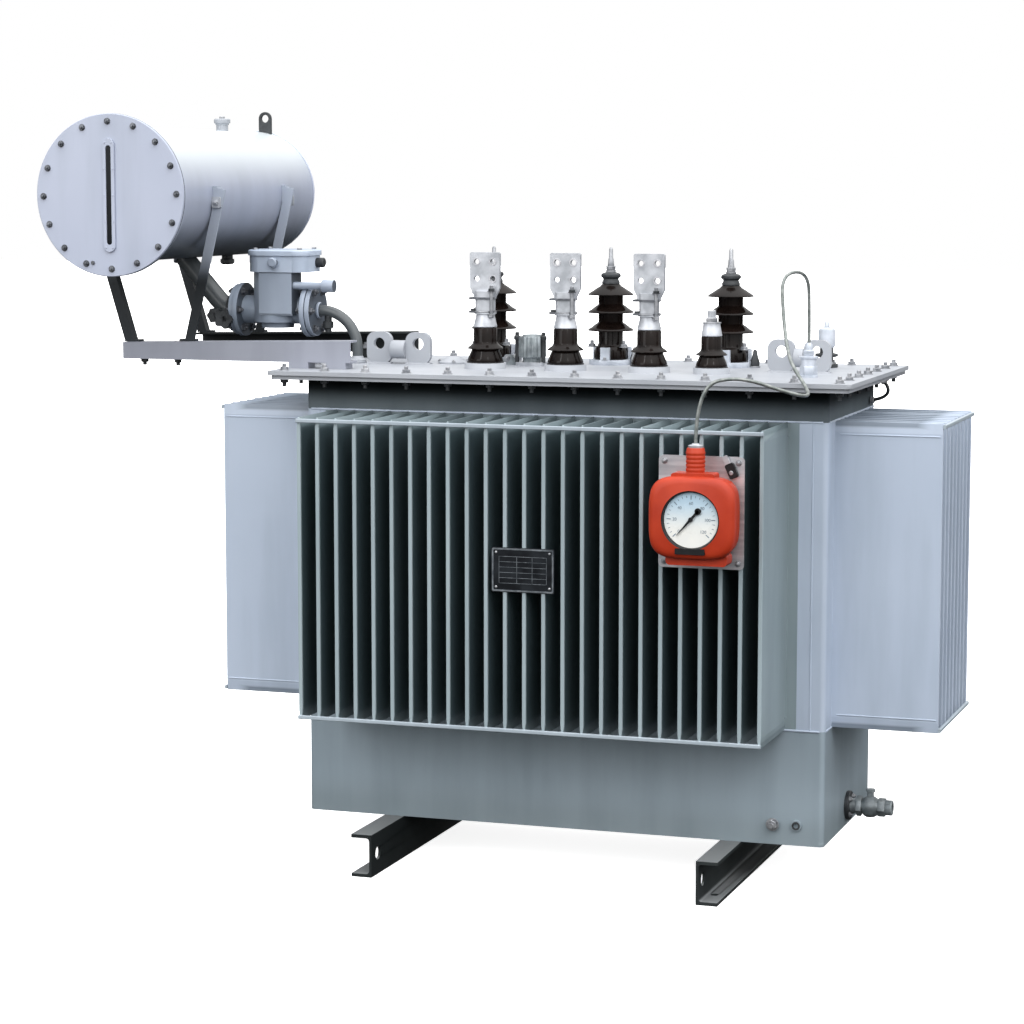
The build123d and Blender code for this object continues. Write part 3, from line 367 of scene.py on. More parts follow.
def make_paints():
    drum_tones = ((0.44, 0.48, 0.59), (0.41, 0.45, 0.56), 0.36)
    return {
        "paint": paint("tank_paint", (0.47, 0.54, 0.65), (0.43, 0.50, 0.61)),
        # Both fin paints carry painted shade in the channels between the fins.
        "front_fins": fin_paint(
            "front_fin_paint", (0.33, 0.40, 0.43), (0.29, 0.36, 0.39), (0.17, 0.21, 0.22),
            "Y", -fins_low.y, "X", (fins_low.x + fins_high.x) / 2, front_fin_half, (1.0, 9.0), 0.70,
        ),
        "side_fins": fin_paint(
            "side_fin_paint", (0.46, 0.53, 0.64), (0.42, 0.49, 0.60), (0.16, 0.19, 0.20),
            "X", side_high.x, "Y", 0.0, side_fin_half, (22.0, 90.0), 1.0,
        ),
        # Painted shade: a darker copy of the tank paint stands in for the shade under the fin packs; it is
        # also a little darker towards the bottom.
        "skirt_paint": paint(
            "skirt_paint", (0.295, 0.36, 0.41), (0.26, 0.32, 0.365), darkening=(230, 110, (0.80, 0.80, 0.78))
        ),
        # Painted shade: a dark copy of the paint, darkest towards the top, stands in for the shade under the
        # cover's overhang.
        "collar_paint": paint(
            "collar_paint", (0.13, 0.155, 0.17), (0.10, 0.12, 0.135),
            darkening=(tank_low.z, tank_high.z - 12, (0.05, 0.06, 0.06)), coat=0.0, gloss=0.03,
        ),
        # Painted shade towards the drum's underside and painted light on the faces that look up.
        "drum_paint": dusty(
            paint(
                "drum_paint", *drum_tones, coat=0.25,
                darkening=(drum_z - 10, drum_low.z + 30, (0.24, 0.27, 0.27)),
            ),
            (0.66, 0.71, 0.74), 0.05, 0.75,
        ),
        "end_paint": paint("end_paint", *drum_tones, coat=0.25),
        # Painted shade on the faces that look along X, such as the relay's flanges.
        "fitting_paint": sooted_sides(
            paint("fitting_paint", (0.33, 0.38, 0.465), (0.28, 0.33, 0.405), 0.40), "X", (0.22, 0.23, 0.24)
        ),
        "beam_paint": paint("beam_paint", (0.29, 0.305, 0.36), (0.25, 0.265, 0.32)),
        # Painted shade: a near-black copy of the beam paint for the back beam, which lies in shade.
        "shaded_beam": paint(
            "shaded_beam", (0.030, 0.034, 0.036), (0.018, 0.021, 0.022), 0.55, coat=0.0, gloss=0.2
        ),
        # Painted shade: a near-black copy of the paint stands in for the shade on the relay's pipes.
        "pipe_paint": paint("pipe_paint", (0.10, 0.112, 0.12), (0.065, 0.075, 0.08), 0.34),
        "rod_paint": paint("rod_paint", (0.38, 0.44, 0.49), (0.33, 0.39, 0.44)),
        # Painted shade: darker on the legs' lower parts, below the drum.
        "leg_paint": paint(
            "leg_paint", (0.40, 0.44, 0.52), (0.36, 0.40, 0.47), 0.45,
            darkening=(drum_z - 110, drum_z - 215, (0.05, 0.055, 0.055)), coat=0.0, gloss=0.25,
        ),
        # Painted shade and light: a near-black copy of the paint stands in for the shade under the tank, and
        # the faces that look up are painted paler.
        "skid_paint": dusty(
            paint("skid_paint", (0.030, 0.035, 0.036), (0.013, 0.016, 0.017), 0.6, coat=0.0, gloss=0.1),
            (0.17, 0.18, 0.185), 0.5, 0.95,
        ),
        "dial": dial_paint("dial_face"),
    }


def make_surfaces():
    cast = {"mottle": 38.0, "grain": 420.0, "bump": 0.35, "depth": 0.6}
    return {
        "floor": glowing(
            surface("floor_white", (0.93, 0.93, 0.93), (0.90, 0.90, 0.90), 0.9, mottle=0.6, bump=0.02)
        ),
        "cover_paint": surface(
            "cover_paint", (0.40, 0.42, 0.455), (0.33, 0.35, 0.385), 0.45, mottle=5.0, coat=0.05
        ),
        "porcelain": surface(
            "dark_porcelain", (0.0095, 0.0060, 0.0050), (0.0045, 0.0030, 0.0026), 0.13,
            mottle=25.0, grain=90.0, bump=0.05, depth=0.3, coat=0.05, gloss=0.12,
        ),
        "terminal": surface(
            "tinned_terminal", (0.60, 0.62, 0.66), (0.38, 0.40, 0.43), 0.38, metal=0.4, mottle=34.0
        ),
        "casting": surface(
            "cast_aluminium", (0.62, 0.66, 0.73), (0.44, 0.48, 0.54), 0.46, metal=0.35, **cast
        ),
        "dark_casting": surface(
            "dark_casting", (0.34, 0.38, 0.40), (0.14, 0.16, 0.17), 0.42, metal=0.3, **cast
        ),
        "zinc": surface(
            "zinc_fastener", (0.46, 0.47, 0.49), (0.22, 0.23, 0.25), 0.38, metal=0.7, mottle=60.0
        ),
        "dark_bolt": surface(
            "dark_bolt", (0.17, 0.18, 0.20), (0.07, 0.075, 0.085), 0.36, metal=0.6, mottle=60.0
        ),
        "iron": surface(
            "dark_iron", (0.050, 0.055, 0.060), (0.026, 0.029, 0.032), 0.44, metal=0.3,
            mottle=40.0, grain=300.0, bump=0.3, depth=0.6,
        ),
        "steel": surface(
            "bright_steel", (0.66, 0.66, 0.69), (0.46, 0.47, 0.50), 0.32, metal=0.6,
            mottle=14.0, grain=240.0, stretch=(1, 1, 6),
        ),
        "orange": surface(
            "orange_case", (0.46, 0.042, 0.013), (0.37, 0.030, 0.010), 0.42, mottle=12.0, gloss=0.3
        ),
        "marks": surface("dial_marks", (0.20, 0.26, 0.31), (0.14, 0.19, 0.24), 0.45, mottle=30.0),
        "black": surface(
            "black_enamel", (0.014, 0.015, 0.017), (0.009, 0.010, 0.011), 0.42, mottle=24.0, gloss=0.25
        ),
        "glass": surface("gauge_glass", (0.008, 0.010, 0.013), (0.003, 0.004, 0.006), 0.14, gloss=0.12),
        "rubber": surface("gasket_rubber", (0.028, 0.028, 0.030), (0.016, 0.016, 0.018), 0.75, mottle=50.0),
        "plate": surface(
            "plate_black", (0.017, 0.020, 0.024), (0.006, 0.007, 0.009), 0.5, mottle=34.0, gloss=0.1
        ),
        "etched": surface("plate_lines", (0.17, 0.19, 0.21), (0.04, 0.05, 0.06), 0.45, mottle=60.0),
        "armour": surface(
            "capillary_armour", (0.31, 0.33, 0.32), (0.15, 0.17, 0.165), 0.36, metal=0.45,
            mottle=70.0, grain=500.0, bump=0.5, depth=0.6,
        ),
        "core": surface("core_steel", (0.21, 0.21, 0.22), (0.14, 0.14, 0.15), 0.6, metal=0.4, mottle=20.0),
        "paper": surface("winding_paper", (0.50, 0.36, 0.20), (0.40, 0.28, 0.15), 0.8, mottle=30.0),
    }


# Shapes under construction.
class Shape:
    """A mesh in millimetres, built part by part, each part with its own material."""

    def __init__(self):
        self.mesh = bmesh.new()
        self.materials = []

    def points(self, places):
        return [self.mesh.verts.new(place) for place in places]

    def paint(self, faces, material):
        if material not in self.materials:
            self.materials.append(material)
        for face in faces:
            face.material_index = self.materials.index(material)
            face.smooth = True

    def strips(self, rings):
        """Faces from each ring of vertices to the next; a ring may be a single vertex."""
        made = []
        for low, high in zip(rings, rings[1:]):
            count = max(len(low), len(high))
            for step in range(count if count > 1 else 0):
                after = (step + 1) % count
                near = (low[step], low[after]) if len(low) > 1 else (low[0],)
                far = (high[after], high[step]) if len(high) > 1 else (high[0],)
                made.append(self.mesh.faces.new(near + far))
        return made

    def skin(self, rings, material, caps=True):
        """Joins rings of the same number of points."""
        loops = [self.points(ring) for ring in rings]
        made = self.strips(loops)
        if caps:
            made += [self.mesh.faces.new(loops[0][::-1]), self.mesh.faces.new(loops[-1])]
        self.paint(made, material)

    def turn(self, profile, origin, axis, material, steps=40, start=0.0):
        """Turns (radius, distance along the axis) points round the axis through origin."""
        spin = axis.to_track_quat("Z", "Y").to_matrix()
        origin = Vector(origin)
        turns = [start + 2 * pi * step / steps for step in range(steps)]
        rings = [
            self.points(
                origin + spin @ Vector((radius * cos(t), radius * sin(t), along))
                for t in (turns if radius > 0 else [0.0])
            )
            for radius, along in profile
        ]
        self.paint(self.strips(rings), material)

    def ring(self, inner, outer, height, origin, axis, material, steps):
        profile = [(inner, 0), (outer, 0), (outer, height), (inner, height)]
        self.turn(profile, origin, axis, material, steps)

    def nut(self, radius, low, high, origin, axis, material, start=0.0, chamfer=2):
        """A hexagon between two distances along the axis."""
        profile = [(0, low), (radius - 1, low), (radius, low + chamfer)]
        profile += [(radius, high - chamfer), (radius - 1, high), (0, high)]
        self.turn(profile, origin, axis, material, 6, start)

    def plate(self, outline, origin, across, up, depth, material, holes=()):
        """A flat plate, drawn along the axes across and up, as thick as depth along their cross product."""
        origin = Vector(origin)
        normal = across.cross(up)
        rims = [self.points(origin + across * a + up * b for a, b in loop) for loop in [outline, *holes]]
        sides = [pair for rim in rims for pair in zip(rim, rim[1:] + rim[:1])]
        edges = [self.mesh.edges.new(pair) for pair in sides]
        if holes:
            filled = bmesh.ops.triangle_fill(self.mesh, use_beauty=True, edges=edges, normal=normal)
            near = [item for item in filled["geom"] if isinstance(item, bmesh.types.BMFace)]
        else:
            near = [self.mesh.faces.new(rims[0])]
        far = {vertex: self.mesh.verts.new(vertex.co + normal * depth) for rim in rims for vertex in rim}
        made = near + [self.mesh.faces.new([far[v] for v in reversed(face.verts)]) for face in near]
        made += [self.mesh.faces.new((a, b, far[b], far[a])) for a, b in sides]
        self.paint(made, material)

    def disc(self, origin, axis, radius, height, material, edge=0.6, steps=32):
        edge = min(edge, height / 3)
        profile = [(0, 0), (radius - edge, 0), (radius, edge)]
        profile += [(radius, height - edge), (radius - edge, height), (0, height)]
        self.turn(profile, origin, axis, material, steps)

    def bolt(self, origin, axis, size, material, tail=0.0, washer=True):
        """A hexagon on a washer; tail is how far the thread stands above it."""
        origin = Vector(origin)
        lift = size * 0.18 if washer else 0.0
        if washer:
            self.disc(origin, axis, size * 1.25, lift, material, 0.3, 20)
        height = size * 0.74
        chamfer = height * 0.16
        profile = [(0, 0), (size * 0.96, 0), (size * 0.99, chamfer)]
        profile += [(size * 0.99, height - chamfer), (size * 0.86, height), (0, height)]
        self.turn(profile, origin + axis * lift, axis, material, 6, rng.uniform(0, pi / 3))
        if tail > 0:
            self.disc(origin + axis * (lift + height), axis, size * 0.5, tail, material, 0.8, 14)

    def tube(self, points, radius, material, sides=20):
        """A round bar along a polyline; radius may be a number or one value for each point."""
        points = [Vector(p) for p in points]
        sizes = radius if isinstance(radius, (list, tuple)) else [radius] * len(points)
        turns = [2 * pi * step / sides for step in range(sides)]
        normal = None
        rings = []
        for index, point in enumerate(points):
            before = points[max(index - 1, 0)]
            after = points[min(index + 1, len(points) - 1)]
            along = (after - before).normalized()
            if normal is None:
                normal = along.orthogonal().normalized()
            normal = (normal - along * normal.dot(along)).normalized()
            side = along.cross(normal)
            rings.append([point + (normal * cos(t) + side * sin(t)) * sizes[index] for t in turns])
        self.skin(rings, material)

    def bead(self, points, radius, material):
        """A weld bead: a thin ridge, slightly uneven along its length."""
        self.tube(points, [radius * rng.uniform(0.82, 1.15) for _ in points], material, 8)

    def make(self, name, replaces=(), ride=True, bevel=0.0, sharp=32.0):
        bmesh.ops.recalc_face_normals(self.mesh, faces=self.mesh.faces)
        bmesh.ops.scale(self.mesh, vec=Vector((1, 1, 1)) / METRE, verts=self.mesh.verts)
        data = bpy.data.meshes.new(name)
        self.mesh.to_mesh(data)
        self.mesh.free()
        for material in self.materials:
            data.materials.append(mat[material])
        data.set_sharp_from_angle(angle=radians(sharp))
        made = bpy.data.objects.new(name, data)
        scene.collection.objects.link(made)
        if bevel:
            soften(made, bevel)
        if ride:
            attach(made, "root")
        if replaces:
            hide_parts(*replaces)
        return made


def soften(piece, width):
    """Rounds the sharp edges of a piece or a CAD node with a modifier."""
    bevel = piece.modifiers.new("edges", "BEVEL")
    bevel.width = width / METRE
    bevel.segments = 2
    bevel.limit_method = "ANGLE"
    bevel.angle_limit = radians(35)
    bevel.harden_normals = False


def circle(radius, steps, x=0.0, y=0.0):
    turns = [2 * pi * step / steps for step in range(steps)]
    return [(x + radius * cos(turn), y + radius * sin(turn)) for turn in turns]


def straight(first, last, step=12.0):
    """Points along a straight line, a step apart."""
    first = Vector(first)
    last = Vector(last)
    count = max(2, int((last - first).length / step))
    return [first.lerp(last, index / count) for index in range(count + 1)]


def bent(first, corner, last, shares):
    """Points on a curve that leaves first towards corner and ends at last."""
    return [first.lerp(corner, t).lerp(corner.lerp(last, t), t) for t in shares]


def rounded_outline(width, height, radius):
    """The corners of a rectangle about the origin, rounded."""
    steps = 6
    points = []
    for across, up, first in ((1, 1, 0), (-1, 1, 90), (-1, -1, 180), (1, -1, 270)):
        for step in range(steps + 1):
            turn = radians(first + 90 * step / steps)
            x = across * (width / 2 - radius) + radius * cos(turn)
            y = up * (height / 2 - radius) + radius * sin(turn)
            points.append((x, y))
    return points


def around(count, radius, centre, axes, start=90.0):
    """Places on a ring, with the first at the angle start."""
    for step in range(count):
        turn = radians(start + 360 * step / count)
        yield Vector(centre) + (axes[0] * cos(turn) + axes[1] * sin(turn)) * radius


# The capillary from the pocket on the cover to the thermometer: the route's points, as the solids have them.
capillary_radius = 4.0
capillary_route = [
    (551.0, -130.0, 1231.8), (551.0, -130.0, 1300.0), (549.0, -134.0, 1392.0), (508.0, -223.0, 1390.0),
    (514.0, -228.0, 1298.0), (530.0, -256.0, 1226.0), (558.0, -322.0, 1190.0), (603.0, -362.0, 1142.0),
    (620.0, -436.0, 1132.0), (571.0, -472.0, 1147.0), (517.0, -494.0, 1168.0), (469.0, -514.0, 1175.0),
    (420.0, -530.0, 1164.0), (398.0, -537.0, 1092.0), (398.0, -537.0, 1035.0),
]


def make_capillary():
    data = bpy.data.curves.new("capillary_line", "CURVE")
    data.dimensions = "3D"
    spline = data.splines.new("NURBS")
    spline.points.add(len(capillary_route) - 1)
    for point, place in zip(spline.points, capillary_route):
        point.co = (*metres(place), 1)
    spline.order_u = 3
    spline.use_endpoint_u = True
    data.resolution_u = 12
    data.bevel_depth = capillary_radius / METRE
    data.bevel_resolution = 5
    data.use_fill_caps = True
    data.materials.append(mat["armour"])
    line = bpy.data.objects.new("capillary_line", data)
    scene.collection.objects.link(line)
    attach(line, "root")
    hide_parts("capillary")


# Tank, cover and rim.
rim_setback = 7.0
rim_bolt_size = 9.5
rim_bolt_inset = 32.0
rim_bolts_long = 14
rim_bolts_short = 7
tank_corner = 12.0
corner_seam_inset = 34.0
crease_radius = 1.7
crease_inset = 30.0
earth_spacing = 54.0


def rim_bolt_places():
    """Places along the two long edges, then along the two short ones."""
    half_x = (rim_high.x - rim_low.x) / 2 + rim_setback - rim_bolt_inset
    half_y = (rim_high.y - rim_low.y) / 2 + rim_setback - rim_bolt_inset
    for index in range(rim_bolts_long):
        x = half_x * (2 * index / (rim_bolts_long - 1) - 1)
        yield x, -half_y
        yield x, half_y
    for index in range(1, rim_bolts_short - 1):
        y = half_y * (2 * index / (rim_bolts_short - 1) - 1)
        yield -half_x, y
        yield half_x, y


def make_rim_bolts():
    """Studs through the cover and the rim, with a nut on each side."""
    shape = Shape()
    for x, y in rim_bolt_places():
        shape.bolt((x, y, cover_top), Z, rim_bolt_size, "zinc", 7)
        shape.bolt((x, y, rim_low.z), -Z, rim_bolt_size, "iron", 9)
    shape.make("rim_bolts")


def make_tank_welds():
    """Weld seams: round the tank above and below the fin packs, and up beside its corners."""
    shape = Shape()
    half_x = tank_high.x
    half_y = tank_high.y
    corners = [(-1, -1), (1, -1), (1, 1), (-1, 1), (-1, -1)]
    for z in (skirt_high.z, tank_low.z):
        for (x0, y0), (x1, y1) in zip(corners, corners[1:]):
            long = half_x - (tank_corner if x0 != x1 else 0)
            wide = half_y - (tank_corner if y0 != y1 else 0)
            shape.bead(straight((x0 * long, y0 * wide, z), (x1 * long, y1 * wide, z)), 2.6, "paint")
    for sx in (-1, 1):
        for sy in (-1, 1):
            x = sx * (half_x - corner_seam_inset)
            y = sy * half_y
            shape.bead(straight((x, y, skirt_high.z), (x, y, tank_low.z)), 1.8, "paint")
    shape.make("tank_welds")


def make_fin_creases():
    """Pressed creases across the outermost fins, near their upper and lower ends."""
    shape = Shape()
    centre = (fins_low.x + fins_high.x) / 2
    root = 12
    tip = 6
    for z in (fins_low.z + crease_inset, fins_high.z - crease_inset):
        for side in (-1, 1):
            x = centre + side * front_fin_half
            y = side * side_fin_half
            for hand in (-1, 1):
                line = straight((x, hand * (tank_high.y + root), z), (x, hand * (fins_high.y - tip), z), 20)
                shape.bead(line, crease_radius, "front_fins")
                line = straight((hand * (tank_high.x + root), y, z), (hand * (side_high.x - tip), y, z), 20)
                shape.bead(line, crease_radius, "side_fins")
    shape.make("fin_creases")


def make_earth_terminals():
    """A bolt in the first earth boss; the second boss keeps its open hole."""
    shape = Shape()
    hole = mount("earth_hole")
    shape.bolt((hole.x - earth_spacing, skirt_low.y, hole.z), -Y, 12.0, "zinc", 6)
    shape.ring(5.4, 9.5, 1.2, (hole.x, skirt_low.y, hole.z), -Y, "iron", 28)
    shape.make("earth_bolt")


def make_bonding_strap():
    """A short dark strap between the rim and the tank's end."""
    shape = Shape()
    upper = Vector((rim_high.x - 24, 170, rim_low.z - 4))
    lower = Vector((tank_high.x + 4, 190, tank_low.z + 18))
    bend = Vector((rim_high.x + 10, 178, rim_low.z - 44))
    shape.tube(bent(upper, bend, lower, [step / 16 for step in range(17)]), 4.0, "iron", 10)
    shape.bolt((upper.x, upper.y, rim_low.z - 4), -Z, 8.0, "zinc", 3)
    shape.bolt(lower, X, 8.0, "zinc", 3)
    shape.make("bonding_strap")


# Conservator.
cover_ring = 170.0
cover_bolts = 16
cover_bolt_size = 6.4
dish_share = 0.7
seam_angle = 200.0
filler_y = 183.0
sump_y = 205.0
eye_half = 17.0
eye_thick = 8.0
eye_hole = 10.0
end_flange_thick = 8.0
cover_plug = (-45, -156)
leg_face_y = 219.0
# Bolts in the beams' pads, the legs' feet and the beams' ends: x places, distance from the middle, rise.
beam_pads = ((-1065.0, -977.0), 207.0, 14.0)
leg_feet = ((-1100.0, -940.0), 205.0, 61.0)
beam_ends = ((-655.0, -560.0), 203.0, 22.5)


def dish_profile():
    depth = (ends_high.y - drum_high.y) * dish_share
    profile = [(drum_radius - 2, -2.0), (drum_radius, 0.0)]
    for step in range(1, 12):
        turn = pi / 2 * step / 12
        profile.append((drum_radius * cos(turn) ** 0.72, depth * sin(turn) ** 0.95))
    return [*profile, (0, depth)]


def make_conservator_ends():
    """The bolted front cover and the dished back end."""
    shape = Shape()
    face = ends_low.y
    joint = drum_low.y
    centre = (drum_x, joint, drum_z)
    shape.disc(centre, -Y, drum_flange, joint - face, "end_paint", 1.6, 112)
    rim = drum_flange + 0.2
    gasket = [(drum_flange - 2, -0.7), (rim, -0.7), (rim, 0.7), (drum_flange - 2, 0.7)]
    shape.turn(gasket, centre, Y, "rubber", 112)
    shape.turn(dish_profile(), (drum_x, drum_high.y, drum_z), Y, "drum_paint", 96)
    for place in around(cover_bolts, cover_ring, (drum_x, face, drum_z), (X, Z), 91.0):
        shape.bolt(place, -Y, cover_bolt_size, "dark_bolt", 4)
        shape.bolt((place.x, joint + end_flange_thick, place.z), Y, cover_bolt_size, "zinc", 5)
    plug = (drum_x + cover_plug[0], face, drum_z + cover_plug[1])
    shape.bolt(plug, -Y, 5.0, "dark_bolt", 0, False)
    shape.make("conservator_end_pieces", ["conservator_ends"])


def make_conservator_welds():
    shape = Shape()
    for y, size in ((drum_low.y + 9.5, 3.4), (drum_high.y, 2.6)):
        ring = [Y * y + place for place in around(90, drum_radius + 0.6, (drum_x, 0, drum_z), (X, Z))]
        shape.bead([*ring, ring[0]], size, "drum_paint")
    x = drum_x + drum_radius * cos(radians(seam_angle))
    z = drum_z + drum_radius * sin(radians(seam_angle))
    shape.bead(straight((x, drum_low.y + 12, z), (x, drum_high.y, z)), 2.0, "drum_paint")
    shape.make("conservator_welds")


def make_gauge_screws():
    shape = Shape()
    middle = (gauge_low.x + gauge_high.x) / 2
    rows = 5
    for index in range(rows):
        z = gauge_low.z + 10 + (gauge_high.z - gauge_low.z - 20) * index / (rows - 1)
        inset = 3.8 if 0 < index < rows - 1 else 6.5
        for hand in (-1, 1):
            x = middle + hand * ((gauge_high.x - gauge_low.x) / 2 - inset)
            shape.disc((x, gauge_low.y, z), -Y, 2.1, 1.4, "end_paint", 0.5, 12)
    shape.make("gauge_screws")


def make_conservator_fittings():
    """Filler with its cap, the dark lifting eye and the dark sump plug."""
    shape = Shape()
    top = drum_z + drum_radius
    filler = [(0, -6), (15, -6), (15, 14), (17, 15), (17, 18), (20, 18.5), (20.5, 20), (20.5, 28)]
    shape.turn([*filler, (18, 30), (0, 30)], (drum_x, filler_y, top), Z, "cover_paint", 36)
    shape.bolt((drum_x, filler_y, top + 30), Z, 8.0, "zinc", 0, False)
    eye = mount("conservator_eye")
    outline = [(-eye_half, -48.0), (eye_half, -54.0)]
    outline += [(eye_half * cos(radians(t)), eye_half * sin(radians(t))) for t in range(0, 181, 12)]
    place = (eye.x, eye.y + eye_thick / 2, eye.z)
    # The eye is dark iron: painted shade for its shaded side.
    shape.plate(outline, place, X, Z, eye_thick, "iron", [circle(eye_hole, 28)])
    sump = [(0, -8), (14, -8), (14, 9), (17, 10), (17.5, 12), (17.5, 20), (14, 23), (6, 24), (0, 24)]
    shape.turn(sump, (drum_x, sump_y, drum_z - drum_radius), -Z, "iron", 32)
    shape.make("conservator_fitting_pieces", ["conservator_fittings"], bevel=0.6)


def make_conservator_supports():
    """Bolts through the legs' tops and feet and through the beams' pads."""
    shape = Shape()
    pad = rounded_outline(22, 26, 4)
    leg_z = drum_z - 18
    for sign in (-1, 1):
        face = sign * leg_face_y
        for hand in (-1, 1):
            x = drum_x + hand * (drum_radius + 10)
            shape.plate(pad, (x, face + (0 if sign < 0 else 5), leg_z), X, Z, 5, "cover_paint")
            shape.bolt((x, face + sign * 5, leg_z), Y * sign, 6.0, "cover_paint", 3)
        for (places, y, rise), base, axis, size, material, tail in (
            (beam_pads, beam_low.z, -Z, 9.5, "iron", 7),
            (leg_feet, beam_low.z, Z, 6.5, "iron", 4),
            (beam_ends, cover_top, Z, 10.0, "zinc", 6),
        ):
            for x in places:
                shape.bolt((x, sign * y, base + rise), axis, size, material, tail)
    shape.make("support_bolts")


# Gas relay and its pipes.
relay_flange = 65.0
relay_z = relay_low.z + relay_flange
flange_thick = 12.0
mate_flange = 62.0
flange_ring = 51.0
flange_bolts = 6
flange_bolt_size = 8.5
tail_x = -699.0
tail_radius = 13.0
tail_bend = 92.0
feed_radius = 23.5
feed_corner_x = -942.0
valve_x = -927.0
petcock_x = -672.0
head_screws = (58, 46)
feed_top = (-42.0, -135.0)
stem_x = -919.0
vent_x = -950.0
vent_root_x = -925.0


def make_relay_bolts():
    """Flange bolts on both sides of the relay, screws in its head, a plug in front and a stub at the side."""
    shape = Shape()
    left = relay_low.x
    faces = ((left + flange_thick, X), (left - flange_thick, -X))
    faces += ((tail_x - 2 * flange_thick, -X), (tail_x, X))
    for x, axis in faces:
        for place in around(flange_bolts, flange_ring, (x, 0, relay_z), (Y, Z), 60.0):
            shape.bolt(place, axis, flange_bolt_size, "dark_bolt", 5)
    head_x = (head_low.x + head_high.x) / 2
    for sx in (-1, 1):
        for sy in (-1, 1):
            place = (head_x + sx * head_screws[0], sy * head_screws[1], head_high.z)
            shape.bolt(place, Z, 6.0, "zinc", 0, False)
    knob = [(0, 0), (10, 0), (12, 3), (12, 12), (9, 15), (0, 15)]
    shape.turn(knob, (head_x, head_low.y - 0.5, head_high.z - 30), -Y, "fitting_paint", 20)
    shape.disc((head_high.x - 6, 20, head_low.z + 22), X, 12.0, 22.0, "iron", 2.0, 24)
    shape.make("relay_bolts")


def make_tail_pipe(shape):
    """The tail pipe to the cover, its flange and its foot."""
    foot_x = pipes_high.x - 20.0
    shape.disc((tail_x - flange_thick, 0, relay_z), X, mate_flange, flange_thick, "fitting_paint", 1.4, 56)
    shape.disc((tail_x, 0, relay_z), X, 20.0, 8.0, "fitting_paint", 2.0, 32)
    line = [Vector((tail_x, 0, relay_z))]
    bend_steps = 19
    centre = Vector((foot_x - tail_bend, 0, relay_z - tail_bend))
    for step in range(bend_steps + 1):
        turn = radians(90 - 90 * step / bend_steps)
        line.append(centre + (X * cos(turn) + Z * sin(turn)) * tail_bend)
    line.append(Vector((foot_x, 0, cover_top + 10)))
    shape.tube(line, tail_radius, "pipe_paint", 28)
    foot = [(0, 0), (20, 0), (21, 1.5), (21, 8), (16, 11), (14, 15), (13, 17), (0, 17)]
    shape.turn(foot, (foot_x, 0, cover_top), Z, "cover_paint", 36)


def make_feed_pipe(shape):
    """The feed pipe from the drum to its valve, with the weld at the drum."""
    upper = Vector((drum_x + feed_top[0], 0, drum_z + feed_top[1]))
    corner = Vector((feed_corner_x, 0, relay_z))
    slope = (upper - corner).normalized()
    near = corner + slope * 34.0
    far = corner + X * 14
    line = [upper - slope * 14, *straight(upper - slope * 40, near, 30)]
    line += [*bent(near, corner, far, (0.2, 0.4, 0.6, 0.8)), far, Vector((valve_x, 0, relay_z))]
    shape.tube(line, feed_radius, "pipe_paint", 32)
    weld = around(28, feed_radius + 1.5, upper - slope * 22, (Y, slope.cross(Y)), 0)
    shape.bead([*weld], 3.0, "leg_paint")


def make_relay_pipes():
    shape = Shape()
    make_tail_pipe(shape)
    make_feed_pipe(shape)
    petcock = [(0, 0), (9, 0), (9, 14), (13, 15), (13, 30), (8, 32), (8, 40), (0, 41)]
    shape.turn(petcock, (petcock_x, 0, relay_z - 12), -Z, "iron", 20)
    shape.make("relay_pipe_pieces", ["relay_pipes"])


def knob_outline(radius, lobes, depth):
    steps = 60
    turns = [2 * pi * step / steps for step in range(steps)]
    reaches = [radius - depth + depth * cos(lobes * 2 * pi * step / steps) for step in range(steps)]
    return [(reach * cos(turn), reach * sin(turn)) for reach, turn in zip(reaches, turns)]


def make_feed_valve(shape):
    """The feed valve's flanges, its hand knob and the small vent knob beside it."""
    face = (relay_low.x - flange_thick, 0, relay_z)
    shape.disc(face, X, mate_flange, flange_thick, "fitting_paint", 1.4, 56)
    shape.disc((valve_x, 0, relay_z), X, 40.0, 16.0, "iron", 2.0, 40)
    stem = Vector((stem_x, 0, relay_z - 22))
    spindle = [(0, 0), (8, 0), (8, 40), (11, 42), (11, 52), (7, 54), (7, 66), (0, 66)]
    shape.turn(spindle, stem, -Y, "iron", 20)
    shape.plate(knob_outline(25, 5, 3.0), stem + Vector((-3, -66, 0)), X, Z, -14, "iron")
    vent = (vent_x, -58, relay_z - 14)
    shape.plate(knob_outline(19, 6, 1.5), vent, X, Z, -18, "iron")
    shape.tube(straight(vent, (vent_root_x, -20, relay_z - 8), 14), 8.0, "iron", 14)


def make_drain_valve(shape):
    """The drain valve with its flange, two hexagons, the open outlet and a locking screw."""
    root = tank_high.x
    z = mount("drain_outlet").z
    base = (root, 0, z)
    cast = "dark_casting"
    shape.disc(base, X, 34.0, 10.0, "iron", 1.5, 40)
    for place in around(4, 26, (root + 10, 0, z), (Y, Z), 45.0):
        shape.bolt(place, X, 5.5, "zinc", 3)
    body = [(0, 10), (17, 10), (17, 24), (21, 26), (21, 32), (17, 34), (17, 38), (22, 42), (25, 48)]
    body += [(25.5, 56), (24, 66), (20, 72), (18, 76), (0, 76)]
    shape.turn(body, base, X, cast, 36)
    shape.nut(24, 24, 36, base, X, cast, 0.3)
    shape.nut(22, 74, 92, base, X, cast, 0.2)
    lip = [(17.5, 92), (18, 93), (18, 106), (16.5, 108), (11, 108), (10, 107), (10, 90), (0, 90)]
    shape.turn(lip, base, X, cast, 32)
    shape.disc((root + 90, 0, z), X, 9.9, 1.2, "iron", 0.3, 24)
    screw = [(0, 20), (8, 20), (8, 34), (11, 35), (11, 42), (0, 43)]
    shape.turn(screw, (root + 56, 0, z), Z, cast, 6)


